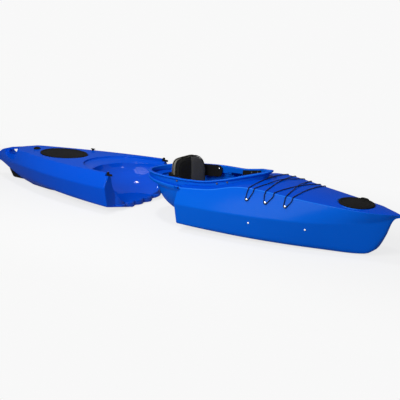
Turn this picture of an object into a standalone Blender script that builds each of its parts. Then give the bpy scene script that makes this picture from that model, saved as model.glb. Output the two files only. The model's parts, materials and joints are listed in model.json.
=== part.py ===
"""Two-piece modular kayak, standing with its sections apart.

Metres, +X to the bow, +Y to port, +Z up. The origin lies on the ground under
the middle of the whole kayak. Both keels rest on the plane Z = 0.
"""
import math

import bmesh
import bpy
import numpy as np
from mathutils import Matrix, Vector

# Overall sizes
BOW_LENGTH = 1.372          # joint face to bow tip
STERN_LENGTH = 1.377        # joint face to stern tip
SECTION_GAP = 0.571         # distance between the two joint faces
HALF_BEAM = 0.354
WALL = 0.006                # moulded wall
SEAT_GAP = 0.0003           # between pieces that touch
SLIDE_FIT = 0.004           # between the bulge and its bowl

# Heights of the deck edge
SHEER_JOINT = 0.270
SHEER_PEAK = 0.329
SHEER_BOW = 0.268
SHEER_STERN = 0.255
SHEER_TAIL = 0.178
CHINE_HEIGHT = 0.175
CORNER_HEIGHT = 0.042
KEEL_FLAT = 0.100           # half width of the flat keel strip
BOW_CROWN = 0.075           # rise of the foredeck, per metre of half width
BOW_EDGE = 0.007            # rounding of the bow section's gunwale
STERN_EDGE = 0.022          # rounding of the stern section's gunwale
BOW_END_ROUND = 0.004
STERN_END_ROUND = 0.024

# Bulge under the cockpit, which enters the stern section's bowl
BULGE_LENGTH = 0.345
BULGE_HALF = 0.272
BULGE_TOP = 0.240
BULGE_DEPTH = 0.220
BULGE_FLOOR = 0.045
BULGE_STEPS = 19            # facets round it
SHELF_LENGTH = 0.430
SHELF_HALF = 0.283
SHELF_THICK = 0.012
SHELF_DROP = 0.003          # shelf top below the sheer at the joint

# Teeth on the stern section's lower lip
TOOTH_COUNT = 5
TOOTH_PITCH = 0.096
TOOTH_DEPTH = 0.022
TOOTH_FIT = 0.0015
LIP_ROUND = 0.005           # under the teeth
FLUTE_TOP = 0.150           # the bow section is fluted up to here

# Cockpit coaming
COAMING_REAR = 0.440        # behind the joint face
COAMING_FRONT = 0.498       # ahead of it
COAMING_HALF = 0.258
COAMING_REAR_HEIGHT = 0.290
COAMING_SIDE_HEIGHT = 0.313
COAMING_FRONT_HEIGHT = 0.398
LIP_WIDTH = 0.022
LIP_THICK = 0.010
COAMING_WALL = 0.008
COAMING_RAKE = 0.030        # lean of the wall at the front
COAMING_STEPS = 24          # points from its rear to its front

# Backrest
PIVOT_X = -0.061            # from the joint face
PIVOT_HEIGHT = 0.291
BACKREST_X = -0.128         # front face
BACKREST_HALF = 0.166
BACKREST_TOP = 0.412
BACKREST_BOTTOM = 0.150
PAD_THICK = 0.036
SHELL_THICK = 0.012
ARM_THICK = 0.006
ARM_HEIGHT = 0.078
ARM_ROOM = 0.0085           # from the coaming's wall, so the arm clears it when folded
ARM_BOSS = 0.011            # radius of the boss on its eye
BOSS_ROOM = 0.0025          # between the boss and the wall

# Thigh braces: bolts ahead of the joint face
BRACE_REAR = 0.222
BRACE_FRONT = 0.284

# Foot braces
RAIL_REAR_U = 0.522
RAIL_FRONT_U = 0.860
RAIL_HEIGHT = 0.135
PEDAL_HEIGHT = 0.115
PEDAL_WIDTH = 0.070
RAIL_STAND = 0.014          # rail's middle to the hull's inner face
RAIL_FOOT = 0.007           # radius of its feet
RAIL_HALF_THICK = 0.004
RAIL_HALF_HEIGHT = 0.011
CARRIAGE_HALF = 0.024       # half the length of the pedal's carriage

# Hatches
FRONT_HATCH_U = 1.081
FRONT_HATCH_RADIUS = 0.108
FRONT_HATCH_TILT = math.radians(4.0)
REAR_HATCH_U = 0.703
REAR_HATCH_LENGTH = 0.190   # half, along the boat
REAR_HATCH_WIDTH = 0.143    # half, across it
HATCH_HEIGHT = 0.017
HATCH_LEDGE = 0.018         # the mouth is smaller than the lid by this, all round
HATCH_LIFT = 0.004          # seat above the deck
HATCH_SIDES = 30

# Deck bungee
BUNGEE_RADIUS = 0.0027
BUNGEE_ROWS = (0.488, 0.608, 0.731)
BUNGEE_CLEAR = 0.0012       # under the cord
# Each turn of the cord: side (+1 port), row, and how far behind and ahead of
# the bolt its two strands cross the gunwale
BUNGEE_TURNS = ((1, 0, 0.020, 0.040), (-1, 0, 0.012, 0.024), (1, 1, 0.009, 0.045),
                (-1, 2, 0.012, 0.030), (1, 2, 0.006, 0.031), (-1, 1, 0.020, 0.034))
BUNGEE_OVER = (False, True, True, False, False, False)  # strands that pass over another
BUNGEE_DROP = 0.40          # bolt's place between gunwale and chine

# Skeg
SKEG_THICK = 0.006
SKEG_FRONT_U = 0.985
SKEG_REAR_U = 1.275
SKEG_PIVOT_U = 1.020
SKEG_PIVOT_HEIGHT = 0.030
SKEG_SWING = math.radians(16.0)
SKEG_BOTTOM = 0.004
SKEG_TOP = 0.096            # its highest corner above its bottom edge
SKEG_BOX_WALL = 0.006
SKEG_ROOM = 0.001           # beside the fin in its slot

# Latch: a hook that turns on an upright pin
LATCH_U = 0.020             # pin behind the stern section's joint face
LATCH_Y = 0.297
LATCH_LEVEL = 0.257         # middle height of the nose
LATCH_NOSE = 0.036          # pin to end of nose
LATCH_THICK = 0.012
LATCH_BARREL = 0.009
LATCH_ROOM = 0.001          # free room round the nose in its slot
PIN_RADIUS = 0.003
STERN_FRAME = 0.038         # solid front of the stern section
KEEPER_INBOARD = 0.027      # keeper pin from the hook's axis, toward the middle
KEEPER_ROOM = 0.0015        # between the pin and the hook
NOSE_HALF = 0.0055          # half thickness of the hook's nose

# Cutters reach past the hull to these heights, and this far to the sides
CUT_LOW = -0.05
CUT_HIGH = 0.6
CUT_SIDE = 0.6
BOWL_REACH = 0.080          # the bowl's cutter ahead of the joint face

# Bolts
BOLT_RADIUS = 0.003
BOLT_SIDES = 8
BOLT_HEAD = 0.0075
BOLT_HEAD_HEIGHT = 0.004
NUT_RADIUS = 0.007
NUT_HEIGHT = 0.003
BRACE_PLATE = 0.0062        # thigh brace's flange, with its seat gap

# Grab handle in the stern tip
HANDLE_U = 1.208
HANDLE_HEIGHT = 0.204
HANDLE_LENGTH = 0.092
HANDLE_OPEN = 0.036
HANDLE_BAR = 0.014          # half width of the bar
HANDLE_TILT = math.radians(11.0)

# Fittings on the stern deck
PLUG_U = 0.974
PLUG_RADIUS = 0.025
PLUG_HEIGHT = 0.014
CLEAT_U = 0.613
CLEAT_Y = 0.212

# Seat
SEAT_CLEAR = 0.006          # round its rear, inside the bulge
SEAT_WAIST = 0.022          # its narrow part ends here, ahead of the joint face
SEAT_FRONT = 0.265
SEAT_HALF = 0.165
SEAT_CORNER = 0.055
RUNNER_Y = 0.100
RUNNER_WIDTH = 0.032
SEAT_PAN = 0.010
SEAT_PAD_THICK = 0.045

JOINT_X = (BOW_LENGTH + SECTION_GAP + STERN_LENGTH) / 2 - BOW_LENGTH
STERN_X = JOINT_X - SECTION_GAP


# Materials

def material(name, colour, roughness, metallic=0.0):
    made = bpy.data.materials.new(name)
    made.use_nodes = True
    shader = made.node_tree.nodes["Principled BSDF"]
    shader.inputs["Base Color"].default_value = (*colour, 1.0)
    shader.inputs["Roughness"].default_value = roughness
    shader.inputs["Metallic"].default_value = metallic
    return made


# Mesh helpers

def finish(name, mesh, paint, origin=(0.0, 0.0, 0.0)):
    """Object from a bmesh in world coordinates, its origin at the given place."""
    bmesh.ops.translate(mesh, verts=mesh.verts, vec=-Vector(origin))
    data = bpy.data.meshes.new(name)
    mesh.to_mesh(data)
    mesh.free()
    made = bpy.data.objects.new(name, data)
    made.location = origin
    bpy.context.collection.objects.link(made)
    if paint:
        data.materials.append(paint)
    return made


def smooth(made, angle=35.0):
    made.data.shade_smooth()
    made.data.set_sharp_from_angle(angle=math.radians(angle))


def is_flat(face):
    face.normal_update()
    centre = face.calc_center_median()
    return all(abs((vert.co - centre).dot(face.normal)) < 1e-6 for vert in face.verts)


def skin(rows, closed=False):
    """Mesh over rows of points: each row is a ring, and the rows are joined.

    A closed skin joins its last row to its first, like a ring's section.
    """
    rows = [np.asarray(row, float) for row in rows]
    mesh = bmesh.new()
    rings = [[mesh.verts.new(point) for point in row] for row in rows]
    pairs = list(zip(rings, rings[1:]))
    if closed:
        pairs.append((rings[-1], rings[0]))
    for first, second in pairs:
        count = len(first)
        for i in range(count):
            j = (i + 1) % count
            mesh.faces.new((first[i], first[j], second[j], second[i]))
    caps = []
    if not closed:
        caps = [mesh.faces.new(rings[0]), mesh.faces.new(rings[-1])]
    level = [cap for cap in caps if is_flat(cap)]
    bmesh.ops.triangulate(mesh, faces=[face for face in mesh.faces if face not in level])
    bmesh.ops.recalc_face_normals(mesh, faces=mesh.faces)
    return mesh


def prism(outline, low, high, axis="Z"):
    """Solid from a flat outline, drawn out along Z, or along Y from a side outline."""
    if axis == "Y":
        rows = [[(a, level, b) for a, b in outline] for level in (low, high)]
    else:
        rows = [[(a, b, level) for a, b in outline] for level in (low, high)]
    return skin(rows)


def merge(parts):
    """One bmesh of several that don't touch."""
    whole = bmesh.new()
    for part in parts:
        data = bpy.data.meshes.new("merge")
        part.to_mesh(data)
        part.free()
        whole.from_mesh(data)
        bpy.data.meshes.remove(data)
    return whole


def tool(name, mesh):
    """A cutter or filler that only shapes another object."""
    made = finish(name, mesh, None)
    made.hide_render = True
    made.display_type = "WIRE"
    return made


def combine(target, helper, operation):
    step = target.modifiers.new(f"{operation.lower()}_{helper.name}", "BOOLEAN")
    step.operation = operation
    step.solver = "EXACT"
    step.object = helper


def around(count):
    """Angles of a ring of points, with none on the boat's middle plane."""
    return (np.arange(count) + 0.5) * 2 * math.pi / count


def circle(radius, count=16, centre=(0.0, 0.0)):
    return [(centre[0] + radius * math.cos(a), centre[1] + radius * math.sin(a)) for a in around(count)]


def rounded_bar(length, height, centre=(0.0, 0.0), tilt=0.0, steps=5):
    """Outline of a bar with half-round ends, its length along the first axis."""
    radius = height / 2
    reach = length / 2 - radius
    points = []
    for side, base in ((1, -math.pi / 2), (-1, math.pi / 2)):
        for k in range(steps + 1):
            a = base + math.pi * k / steps
            points.append((side * reach + radius * math.cos(a), radius * math.sin(a)))
    c, s = math.cos(tilt), math.sin(tilt)
    return [(centre[0] + x * c - z * s, centre[1] + x * s + z * c) for x, z in points]


def frame_at(origin, axis, up=(0.0, 0.0, 1.0)):
    """Matrix whose local Z points along an axis."""
    z = Vector(axis).normalized()
    x = Vector(up).cross(z)
    if x.length < 1e-4:
        x = Vector((1.0, 0.0, 0.0)).cross(z)
    x.normalize()
    y = z.cross(x)
    return Matrix.Translation(origin) @ Matrix((x, y, z)).transposed().to_4x4()


def turned(profile, place, count=12):
    """Solid turned from (radius, height) pairs about the local Z of a matrix."""
    rows = [[(x, y, height) for x, y in circle(radius, count)] for radius, height in profile]
    mesh = skin(rows)
    bmesh.ops.transform(mesh, matrix=place, verts=mesh.verts)
    return mesh


# Hull lines

def along(stations, t):
    """Smooth value at t through (t, value) stations, without overshoot."""
    ts = np.array([s[0] for s in stations], float)
    vs = np.array([s[1] for s in stations], float)
    step = np.diff(ts)
    grade = np.diff(vs) / step
    slope = np.zeros_like(vs)
    for i in range(1, len(vs) - 1):
        if grade[i - 1] * grade[i] > 0:
            slope[i] = 2 * grade[i - 1] * grade[i] / (grade[i - 1] + grade[i])
    slope[0], slope[-1] = grade[0], grade[-1]
    t = min(max(t, ts[0]), ts[-1])
    i = min(int(np.searchsorted(ts, t, side="right")) - 1, len(step) - 1)
    f = (t - ts[i]) / step[i]
    blend = f * f * (3 - 2 * f)
    return float((1 - blend) * vs[i] + blend * vs[i + 1]
                 + step[i] * (f * (1 - f) ** 2 * slope[i] - f * f * (1 - f) * slope[i + 1]))


def between(low, high, share):
    return low + (high - low) * share


GUNWALE_JOINT = 0.3075      # half width of the deck at the joint
TIP_HALF = 0.005            # half thickness of both tips

# The stem's outline: distance behind the bow tip, and height
STEM = ((0.320, 0.000), (0.198, 0.010), (0.154, 0.036), (0.097, 0.127), (0.054, 0.226),
        (0.034, 0.245), (0.000, 0.256))
# The underside of the stern: distance ahead of the stern tip, and height
STERN_RISE = ((0.430, 0.000), (0.270, 0.027), (0.170, 0.058), (0.080, 0.094), (0.000, 0.118))


def corner_share(t):
    """Bottom corner's half width as a share of the chine's."""
    return 0.923 - 0.08 * t - 0.42 * t ** 3


def keel_rounding(t):
    """Rounding of the bottom corner: tight at the joint, fuller behind it."""
    return between(0.012, 0.030, min(t / 0.2, 1.0))


def bow_lines(u):
    """Corner points of the half section at a distance ahead of the joint face."""
    t = max(u, 0.0) / BOW_LENGTH
    keel = along([(1 - s / BOW_LENGTH, z) for s, z in STEM], t)
    gunwale = GUNWALE_JOINT * along(
        [(0, 1.0), (0.146, 0.927), (0.292, 0.787), (0.364, 0.745), (0.583, 0.608), (0.73, 0.495),
         (0.802, 0.43), (0.875, 0.348), (0.911, 0.257), (0.955, 0.146), (1.0, 0.016)], t)
    sheer = along(
        [(0, SHEER_JOINT), (0.146, between(SHEER_JOINT, SHEER_PEAK, 0.27)),
         (0.292, between(SHEER_JOINT, SHEER_PEAK, 0.95)), (0.34, SHEER_PEAK),
         (0.583, between(SHEER_BOW, SHEER_PEAK, 0.59)), (0.802, between(SHEER_BOW, SHEER_PEAK, 0.23)),
         (1.0, SHEER_BOW)], t)
    chine = max(HALF_BEAM * (1 - (t / 0.977) ** 2.2), TIP_HALF)
    corner = max(chine * corner_share(t), TIP_HALF * 0.9)
    low = max(between(CORNER_HEIGHT, 0.008, min(t / 0.8, 1.0)), keel + 0.004)
    mid = CHINE_HEIGHT + along([(0, 0.0), (0.5, 0.003), (0.65, 0.008), (0.8, 0.022), (0.9, 0.037),
                                (0.96, 0.066), (1.0, 0.087)], t)
    mid = max(mid, low + 0.004)
    return dict(keel=keel, corner=(corner, low), chine=(chine, mid), gunwale=(gunwale, sheer),
                deck=sheer + BOW_CROWN * gunwale, edge=BOW_EDGE, keel_edge=keel_rounding(t))


def stern_lines(u):
    """Corner points of the half section at a distance behind the joint face."""
    t = max(u, 0.0) / STERN_LENGTH
    keel = along([(1 - s / STERN_LENGTH, z) for s, z in STERN_RISE], t)
    gunwale = max(GUNWALE_JOINT * (1 - t ** 1.75), TIP_HALF)
    sheer = along(
        [(0, SHEER_JOINT), (0.24, between(SHEER_STERN, SHEER_JOINT, 0.55)),
         (0.6, SHEER_STERN), (0.79, SHEER_STERN - 0.004), (0.893, between(SHEER_TAIL, SHEER_STERN, 0.70)),
         (0.951, between(SHEER_TAIL, SHEER_STERN, 0.43)), (1.0, SHEER_TAIL)], t)
    chine = max(HALF_BEAM * (1 - t ** 2), TIP_HALF)
    corner = max(chine * corner_share(t), TIP_HALF * 0.9)
    low = CORNER_HEIGHT + along([(0, 0.0), (0.24, 0.006), (0.53, 0.014), (0.748, 0.021), (0.893, 0.040),
                                 (1.0, 0.080)], t)
    mid = CHINE_HEIGHT + along([(0, 0.0), (0.3, -0.002), (0.55, -0.007), (0.75, -0.018), (0.87, -0.030),
                                (1.0, -0.043)], t)
    mid = max(mid, low + 0.004)
    return dict(keel=keel, corner=(corner, low), chine=(chine, mid), gunwale=(gunwale, sheer),
                deck=sheer, edge=STERN_EDGE, keel_edge=keel_rounding(t))


def round_corner(before, corner, after, size, steps=3):
    """Points round a corner of an outline, along a short parabola."""
    before, corner, after = map(np.array, (before, corner, after))
    points = []
    reach = []
    for other in (before, after):
        length = np.linalg.norm(other - corner)
        reach.append(corner + (other - corner) * min(size, 0.42 * length) / max(length, 1e-9))
    for k in range(steps):
        f = k / (steps - 1)
        points.append((1 - f) ** 2 * reach[0] + 2 * f * (1 - f) * corner + f * f * reach[1])
    return points


GUNWALE = (2, 3, 4)         # places of its three points in a half section
CHINE = 6


def half_section(lines, inset=0.0, lift=None):
    """Port half of a section, from the middle of the deck to the keel.

    The bottom rises by the lift, which is the inset where none is given.
    """
    lift = inset if lift is None else lift
    gw, gz = lines["gunwale"]
    cw, cz = lines["chine"]
    bw, bz = lines["corner"]
    least = TIP_HALF * 0.4
    deck = (0.0, lines["deck"] - inset)
    gun = (max(gw - inset * 1.15, least), gz - inset)
    chine = (max(cw - inset, least), cz)
    corner = (max(bw - inset, least * 0.9), bz + lift)
    keel = lines["keel"] + lift
    flat = (min(KEEL_FLAT, corner[0] * 0.5), keel)
    keel = (0.0, keel)
    rise = deck[1] - gun[1]
    points = [deck]
    points.append((gun[0] * 0.6, gun[1] + rise * 0.64))
    deck_near = (gun[0] * 0.9, gun[1] + rise * 0.19)
    points += round_corner(deck_near, gun, chine, lines["edge"])
    points.append(((gun[0] + chine[0]) / 2 + 0.03 * abs(chine[1] - gun[1]), (gun[1] + chine[1]) / 2))
    points += round_corner(gun, chine, corner, 0.008, 2)
    points += round_corner(chine, corner, flat, lines["keel_edge"])
    points.append(flat)
    points.append(keel)
    return [np.array(point) for point in points]


def ring(x, lines, inset=0.0, lift=None):
    half = half_section(lines, inset, lift)
    port = [(x, p[0], p[1]) for p in half]
    starboard = [(x, -p[0], p[1]) for p in half[-2:0:-1]]
    return port + starboard


def end_inset(u, radius):
    """How far a section shrinks near a rounded end."""
    if u >= radius:
        return 0.0
    u = max(u, 0.0)
    return radius - math.sqrt(radius ** 2 - (radius - u) ** 2)


def hull_loft(lines, place, stations, end_round=0.0, inset=0.0, bottom_round=None):
    rows = []
    for u in stations:
        lift = None if bottom_round is None else inset + end_inset(u, bottom_round)
        rows.append(ring(place(u), lines(u), inset + end_inset(u, end_round), lift))
    return skin(rows)


def bow_x(u):
    return JOINT_X + u


def stern_x(u):
    return STERN_X - u


def surface_point(lines, u, share):
    """Point on the upper side panel: 0 at the gunwale, 1 at the chine."""
    half = half_section(lines(u))
    top, middle, low = half[GUNWALE[-1]:CHINE + 1]
    if share < 0.5:
        return top + (middle - top) * share * 2
    return middle + (low - middle) * (share - 0.5) * 2


def side_width(lines, u, height):
    """Half width of the hull at a height on its lower panel."""
    half = half_section(lines(u))
    heights = [p[1] for p in half[:CHINE - 1:-1]]
    widths = [p[0] for p in half[:CHINE - 1:-1]]
    return float(np.interp(height, heights, widths))


def deck_height(lines, u, y):
    half = half_section(lines(u))
    widths = [p[0] for p in half[:CHINE - 1]]
    heights = [p[1] for p in half[:CHINE - 1]]
    return float(np.interp(abs(y), widths, heights))


def floor_height(lines, u, y, inset):
    half = half_section(lines(u), inset)[:CHINE:-1]
    widths = [p[0] for p in half]
    heights = [p[1] for p in half]
    return float(np.interp(abs(y), widths, heights))


# Bulge and bowl

def bulge_outline(length, half, z, front, face):
    """Half ellipse that opens forward, closed by a straight front."""
    points = [(face + front, half, z)]
    for k in range(BULGE_STEPS + 1):
        a = math.pi * (0.5 - k / BULGE_STEPS)
        points.append((face - length * math.cos(a), half * math.sin(a), z))
    points.append((face + front, -half, z))
    return points


def bulge_size(z):
    """Half length and half width of the bulge's ellipse at a height."""
    width = math.sqrt(max(1 - ((BULGE_TOP - z) / BULGE_DEPTH) ** 2, 0.0))
    return BULGE_LENGTH * width, BULGE_HALF * width


def bulge(grow, front, top, face):
    """The rounded solid behind a joint face, under the cockpit, grown on all its sides."""
    shelf = SHEER_JOINT - SHELF_DROP
    rows = []
    if grow >= 0:
        rows.append((top, SHELF_LENGTH, SHELF_HALF))
        rows.append((shelf - SHELF_THICK - grow, SHELF_LENGTH - 0.002, SHELF_HALF))
    else:
        rows.append((top, BULGE_LENGTH + 0.012, BULGE_HALF + 0.002))
    rows.append((BULGE_TOP - 0.002 - grow, BULGE_LENGTH + 0.012, BULGE_HALF + 0.002))
    for share in (0.2, 0.43, 0.64, 0.80, 0.93, 1.0):
        z = between(BULGE_TOP, BULGE_FLOOR, share)
        rows.append((z - grow * share, *bulge_size(z)))
    return skin([bulge_outline(a + grow, b + grow, z, front, face) for z, a, b in rows])


# Teeth

TOOTH_RADIUS = (TOOTH_PITCH ** 2 / 4 + TOOTH_DEPTH ** 2) / (2 * TOOTH_DEPTH)
TEETH_HALF = TOOTH_PITCH * TOOTH_COUNT / 2


def tooth_line(grow):
    """Plan line over the row of teeth: (y, how far it stands forward)."""
    points = []
    steps = 7
    for k in range(TOOTH_COUNT):
        centre = (k - (TOOTH_COUNT - 1) / 2) * TOOTH_PITCH
        for i in range(steps):
            y = -TOOTH_PITCH / 2 + TOOTH_PITCH * i / steps
            front = math.sqrt((TOOTH_RADIUS + grow) ** 2 - y * y) - (TOOTH_RADIUS - TOOTH_DEPTH)
            points.append((centre + y, front))
    points.append((TEETH_HALF, points[0][1]))
    return points


# Coaming

def coaming_half(s):
    """Half width of the coaming at a distance ahead of the joint face."""
    if s <= 0:
        share = min(-s / COAMING_REAR, 1.0)
        return COAMING_HALF * max(1 - share ** 2, 0.0) ** 0.5
    share = s / COAMING_FRONT
    return COAMING_HALF * along([(0, 1.0), (0.2, 0.957), (0.4, 0.872), (0.6, 0.737), (0.7, 0.585),
                                 (0.8, 0.41), (0.9, 0.27), (0.97, 0.15), (1.0, 0.0)], share)


def coaming_height(s):
    if s <= 0:
        share = -s / COAMING_REAR
        return between(COAMING_SIDE_HEIGHT, COAMING_REAR_HEIGHT, share ** 1.5)
    share = s / COAMING_FRONT
    return along([(0, COAMING_SIDE_HEIGHT), (0.25, between(COAMING_SIDE_HEIGHT, COAMING_FRONT_HEIGHT, 0.06)),
                  (0.5, between(COAMING_SIDE_HEIGHT, COAMING_FRONT_HEIGHT, 0.31)),
                  (0.8, between(COAMING_SIDE_HEIGHT, COAMING_FRONT_HEIGHT, 0.74)),
                  (1.0, COAMING_FRONT_HEIGHT)], share)


def coaming_path():
    """Plan points round the cockpit, port side first from the rear, evenly spaced."""
    fine = []
    for k in range(61):
        a = math.pi / 2 * k / 60
        fine.append((-COAMING_REAR * math.cos(a), coaming_half(-COAMING_REAR * math.cos(a))))
    for k in range(1, 101):
        s = COAMING_FRONT * math.sin(math.pi / 2 * k / 100)
        fine.append((s, coaming_half(s)))
    fine = np.array(fine)
    length = np.concatenate([[0], np.cumsum(np.linalg.norm(np.diff(fine, axis=0), axis=1))])
    even = np.linspace(0, length[-1], COAMING_STEPS)
    half = np.stack([np.interp(even, length, fine[:, 0]), np.interp(even, length, fine[:, 1])], 1)
    mirrored = half[-2:0:-1] * (1, -1)
    return np.concatenate([half, mirrored])


def outward(path):
    """Unit plan normals of a closed path, pointing out of it."""
    ahead = np.roll(path, -1, axis=0) - np.roll(path, 1, axis=0)
    normal = np.stack([ahead[:, 1], -ahead[:, 0]], 1)
    normal /= np.linalg.norm(normal, axis=1)[:, None]
    if (normal * (path - path.mean(axis=0))).sum() < 0:
        normal = -normal
    return normal


def coaming_base(s, half):
    """Height below which the coaming has melted into the deck."""
    if s <= 0:
        return SHEER_JOINT - SHELF_DROP - 0.5 * WALL
    return deck_height(bow_lines, s, half) - 0.5 * WALL


def coaming_rake(s):
    """How far the wall's foot stands inside its top."""
    share = min(max((s / COAMING_FRONT - 0.74) / 0.22, 0.0), 1.0)
    return COAMING_RAKE * share ** 2 * (3 - 2 * share)


def coaming_foot(s, y):
    return min(coaming_base(s, abs(y)), coaming_height(s) - 2 * LIP_THICK)


def coaming_ring():
    """Wall with an outward rolled lip, swept round the cockpit."""
    path = coaming_path()
    rows = []
    for (s, y), n in zip(path, outward(path)):
        top = coaming_height(s)
        foot = coaming_foot(s, y)
        inner = -LIP_WIDTH
        outer = COAMING_WALL - LIP_WIDTH
        rake = coaming_rake(s)
        profile = ((inner, foot), (inner, top - 0.004), (inner + 0.004, top), (-0.004, top),
                   (0.0, top - 0.005), (-0.003, top - LIP_THICK), (outer, top - LIP_THICK - 0.002),
                   (outer + 0.003, foot))
        rows.append([(JOINT_X + s + n[0] * off - (rake if z == foot else 0.0), y + n[1] * off, z)
                     for off, z in profile])
    return skin(rows, closed=True)


def cockpit_mouth(low, high):
    """Hole in the deck that ends under the middle of the coaming's wall."""
    path = coaming_path()
    edge = path + outward(path) * (COAMING_WALL / 2 - LIP_WIDTH)
    return prism([(JOINT_X + x - coaming_rake(s), y) for (x, y), (s, _) in zip(edge, path)], low, high)


# Ovals, for the hatches and round fittings

def oval(place, a, b, z, count):
    return [place @ Vector((a * math.cos(t), b * math.sin(t), z)) for t in around(count)]


def stacked(place, a, b, profile, count, closed=False):
    """Solid whose level outlines are ovals: profile gives (offset, height)."""
    return skin([oval(place, a + off, b + off, z, count) for off, z in profile], closed)


# Sections of the kayak

def spread(low, high, count):
    """Even stations between two others, the last one included."""
    return [between(low, high, (k + 1) / count) for k in range(count)]


def bow_stations(start, end, fine):
    """Stations along the bow section, with one at each foot rail bolt."""
    stations = [start] + ([0.0015, BOW_END_ROUND + 0.001] if fine else [])
    stations += spread(stations[-1], RAIL_REAR_U, 6 if fine else 3)
    stations += spread(RAIL_REAR_U, RAIL_FRONT_U, 4 if fine else 2)
    if not fine:
        return stations + spread(RAIL_FRONT_U, end, 4)
    stations += spread(RAIL_FRONT_U, between(RAIL_FRONT_U, end, 0.6), 3)
    tip = end - stations[-1]
    return stations + [end - tip * share for share in (0.76, 0.61, 0.47, 0.35, 0.26, 0.175, 0.08, 0.0)]


def front_hatch_place():
    height = deck_height(bow_lines, FRONT_HATCH_U, 0.0) + HATCH_LIFT
    centre = Matrix.Translation((bow_x(FRONT_HATCH_U), 0.0, height))
    return centre @ Matrix.Rotation(FRONT_HATCH_TILT, 4, "Y")


def rear_hatch_place():
    height = deck_height(stern_lines, REAR_HATCH_U, 0.0) + HATCH_LIFT
    return Matrix.Translation((stern_x(REAR_HATCH_U), 0.0, height))


def hatch(name, place, a, b, rubber, plastic):
    """Rim ring and press-on lid over an oval hole."""
    count = HATCH_SIDES
    inner = -HATCH_LEDGE
    rim_profile = ((inner, SEAT_GAP), (inner, 0.010), (-0.010, 0.010), (-0.010, 0.004), (-0.002, 0.004),
                   (-0.002, SEAT_GAP))
    rim = finish(f"{name}_rim", stacked(place, a, b, rim_profile, count, closed=True), plastic)
    top = HATCH_HEIGHT
    lid_profile = ((inner - 0.0085, 0.0110), (-0.0095, 0.0110), (-0.0095, 0.0045), (-0.001, 0.0045),
                   (0.0, top - 0.003), (-0.004, top), (-0.014, top), (-0.020, top - 0.003))
    lid = finish(f"{name}_lid", stacked(place, a, b, lid_profile, count), rubber, place.translation)
    smooth(rim)
    smooth(lid)


def hatch_boss(place, a, b, count):
    """Moulded seat that carries the rim, as a solid to be joined to the deck."""
    return stacked(place, a, b, ((-0.003, -0.030), (0.006, -0.006), (0.003, 0.0)), count)


def hatch_hole(place, a, b, count):
    return stacked(place, a, b, ((-HATCH_LEDGE, -0.060), (-HATCH_LEDGE, 0.030)), count)


def bungee_bolt_places():
    places = []
    for row, u in enumerate(BUNGEE_ROWS):
        for side, tag in ((1, "left"), (-1, "right")):
            point = surface_point(bow_lines, u, BUNGEE_DROP)
            ahead = surface_point(bow_lines, u + 0.01, BUNGEE_DROP)
            lower = surface_point(bow_lines, u, BUNGEE_DROP + 0.1)
            here = np.array((bow_x(u), point[0], point[1]))
            forward = np.array((bow_x(u + 0.01), ahead[0], ahead[1])) - here
            down = np.array((bow_x(u), lower[0], lower[1])) - here
            normal = np.cross(forward, down)
            normal /= np.linalg.norm(normal)
            if normal[1] < 0:
                normal = -normal
            here[1] *= side
            normal[1] *= side
            places.append((f"bungee_bolt_{tag}_{row + 1}", here, normal))
    return places


def wall_middle(s):
    """Height half way between the deck and the coaming's lip."""
    deck = deck_height(bow_lines, s, coaming_half(s) - LIP_WIDTH)
    return (deck + coaming_height(s) - LIP_THICK - 0.002) / 2


def brace_bolt_places():
    """Bolts of the thigh braces and the backrest, through the coaming's wall."""
    places = []
    for tag, s, height in (("backrest_bolt", PIVOT_X, PIVOT_HEIGHT),
                           ("thigh_brace_bolt_rear", BRACE_REAR, wall_middle(BRACE_REAR)),
                           ("thigh_brace_bolt_front", BRACE_FRONT, wall_middle(BRACE_FRONT))):
        for side, end in ((1, "left"), (-1, "right")):
            places.append((f"{tag}_{end}", s, side, height))
    return places


def stem_cylinder(start, end, radius, count=12):
    start, end = Vector(start), Vector(end)
    place = frame_at(start, end - start)
    return turned(((radius, 0.0), (radius, (end - start).length)), place, count)


def latch_place(face, side):
    """Upright axis of a latch, at the level of its nose."""
    return (face - LATCH_U, side * LATCH_Y, LATCH_LEVEL)


def upright(centre, radius, low, high, count=16):
    return prism(circle(radius, count, centre[:2]), low, high)


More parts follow.
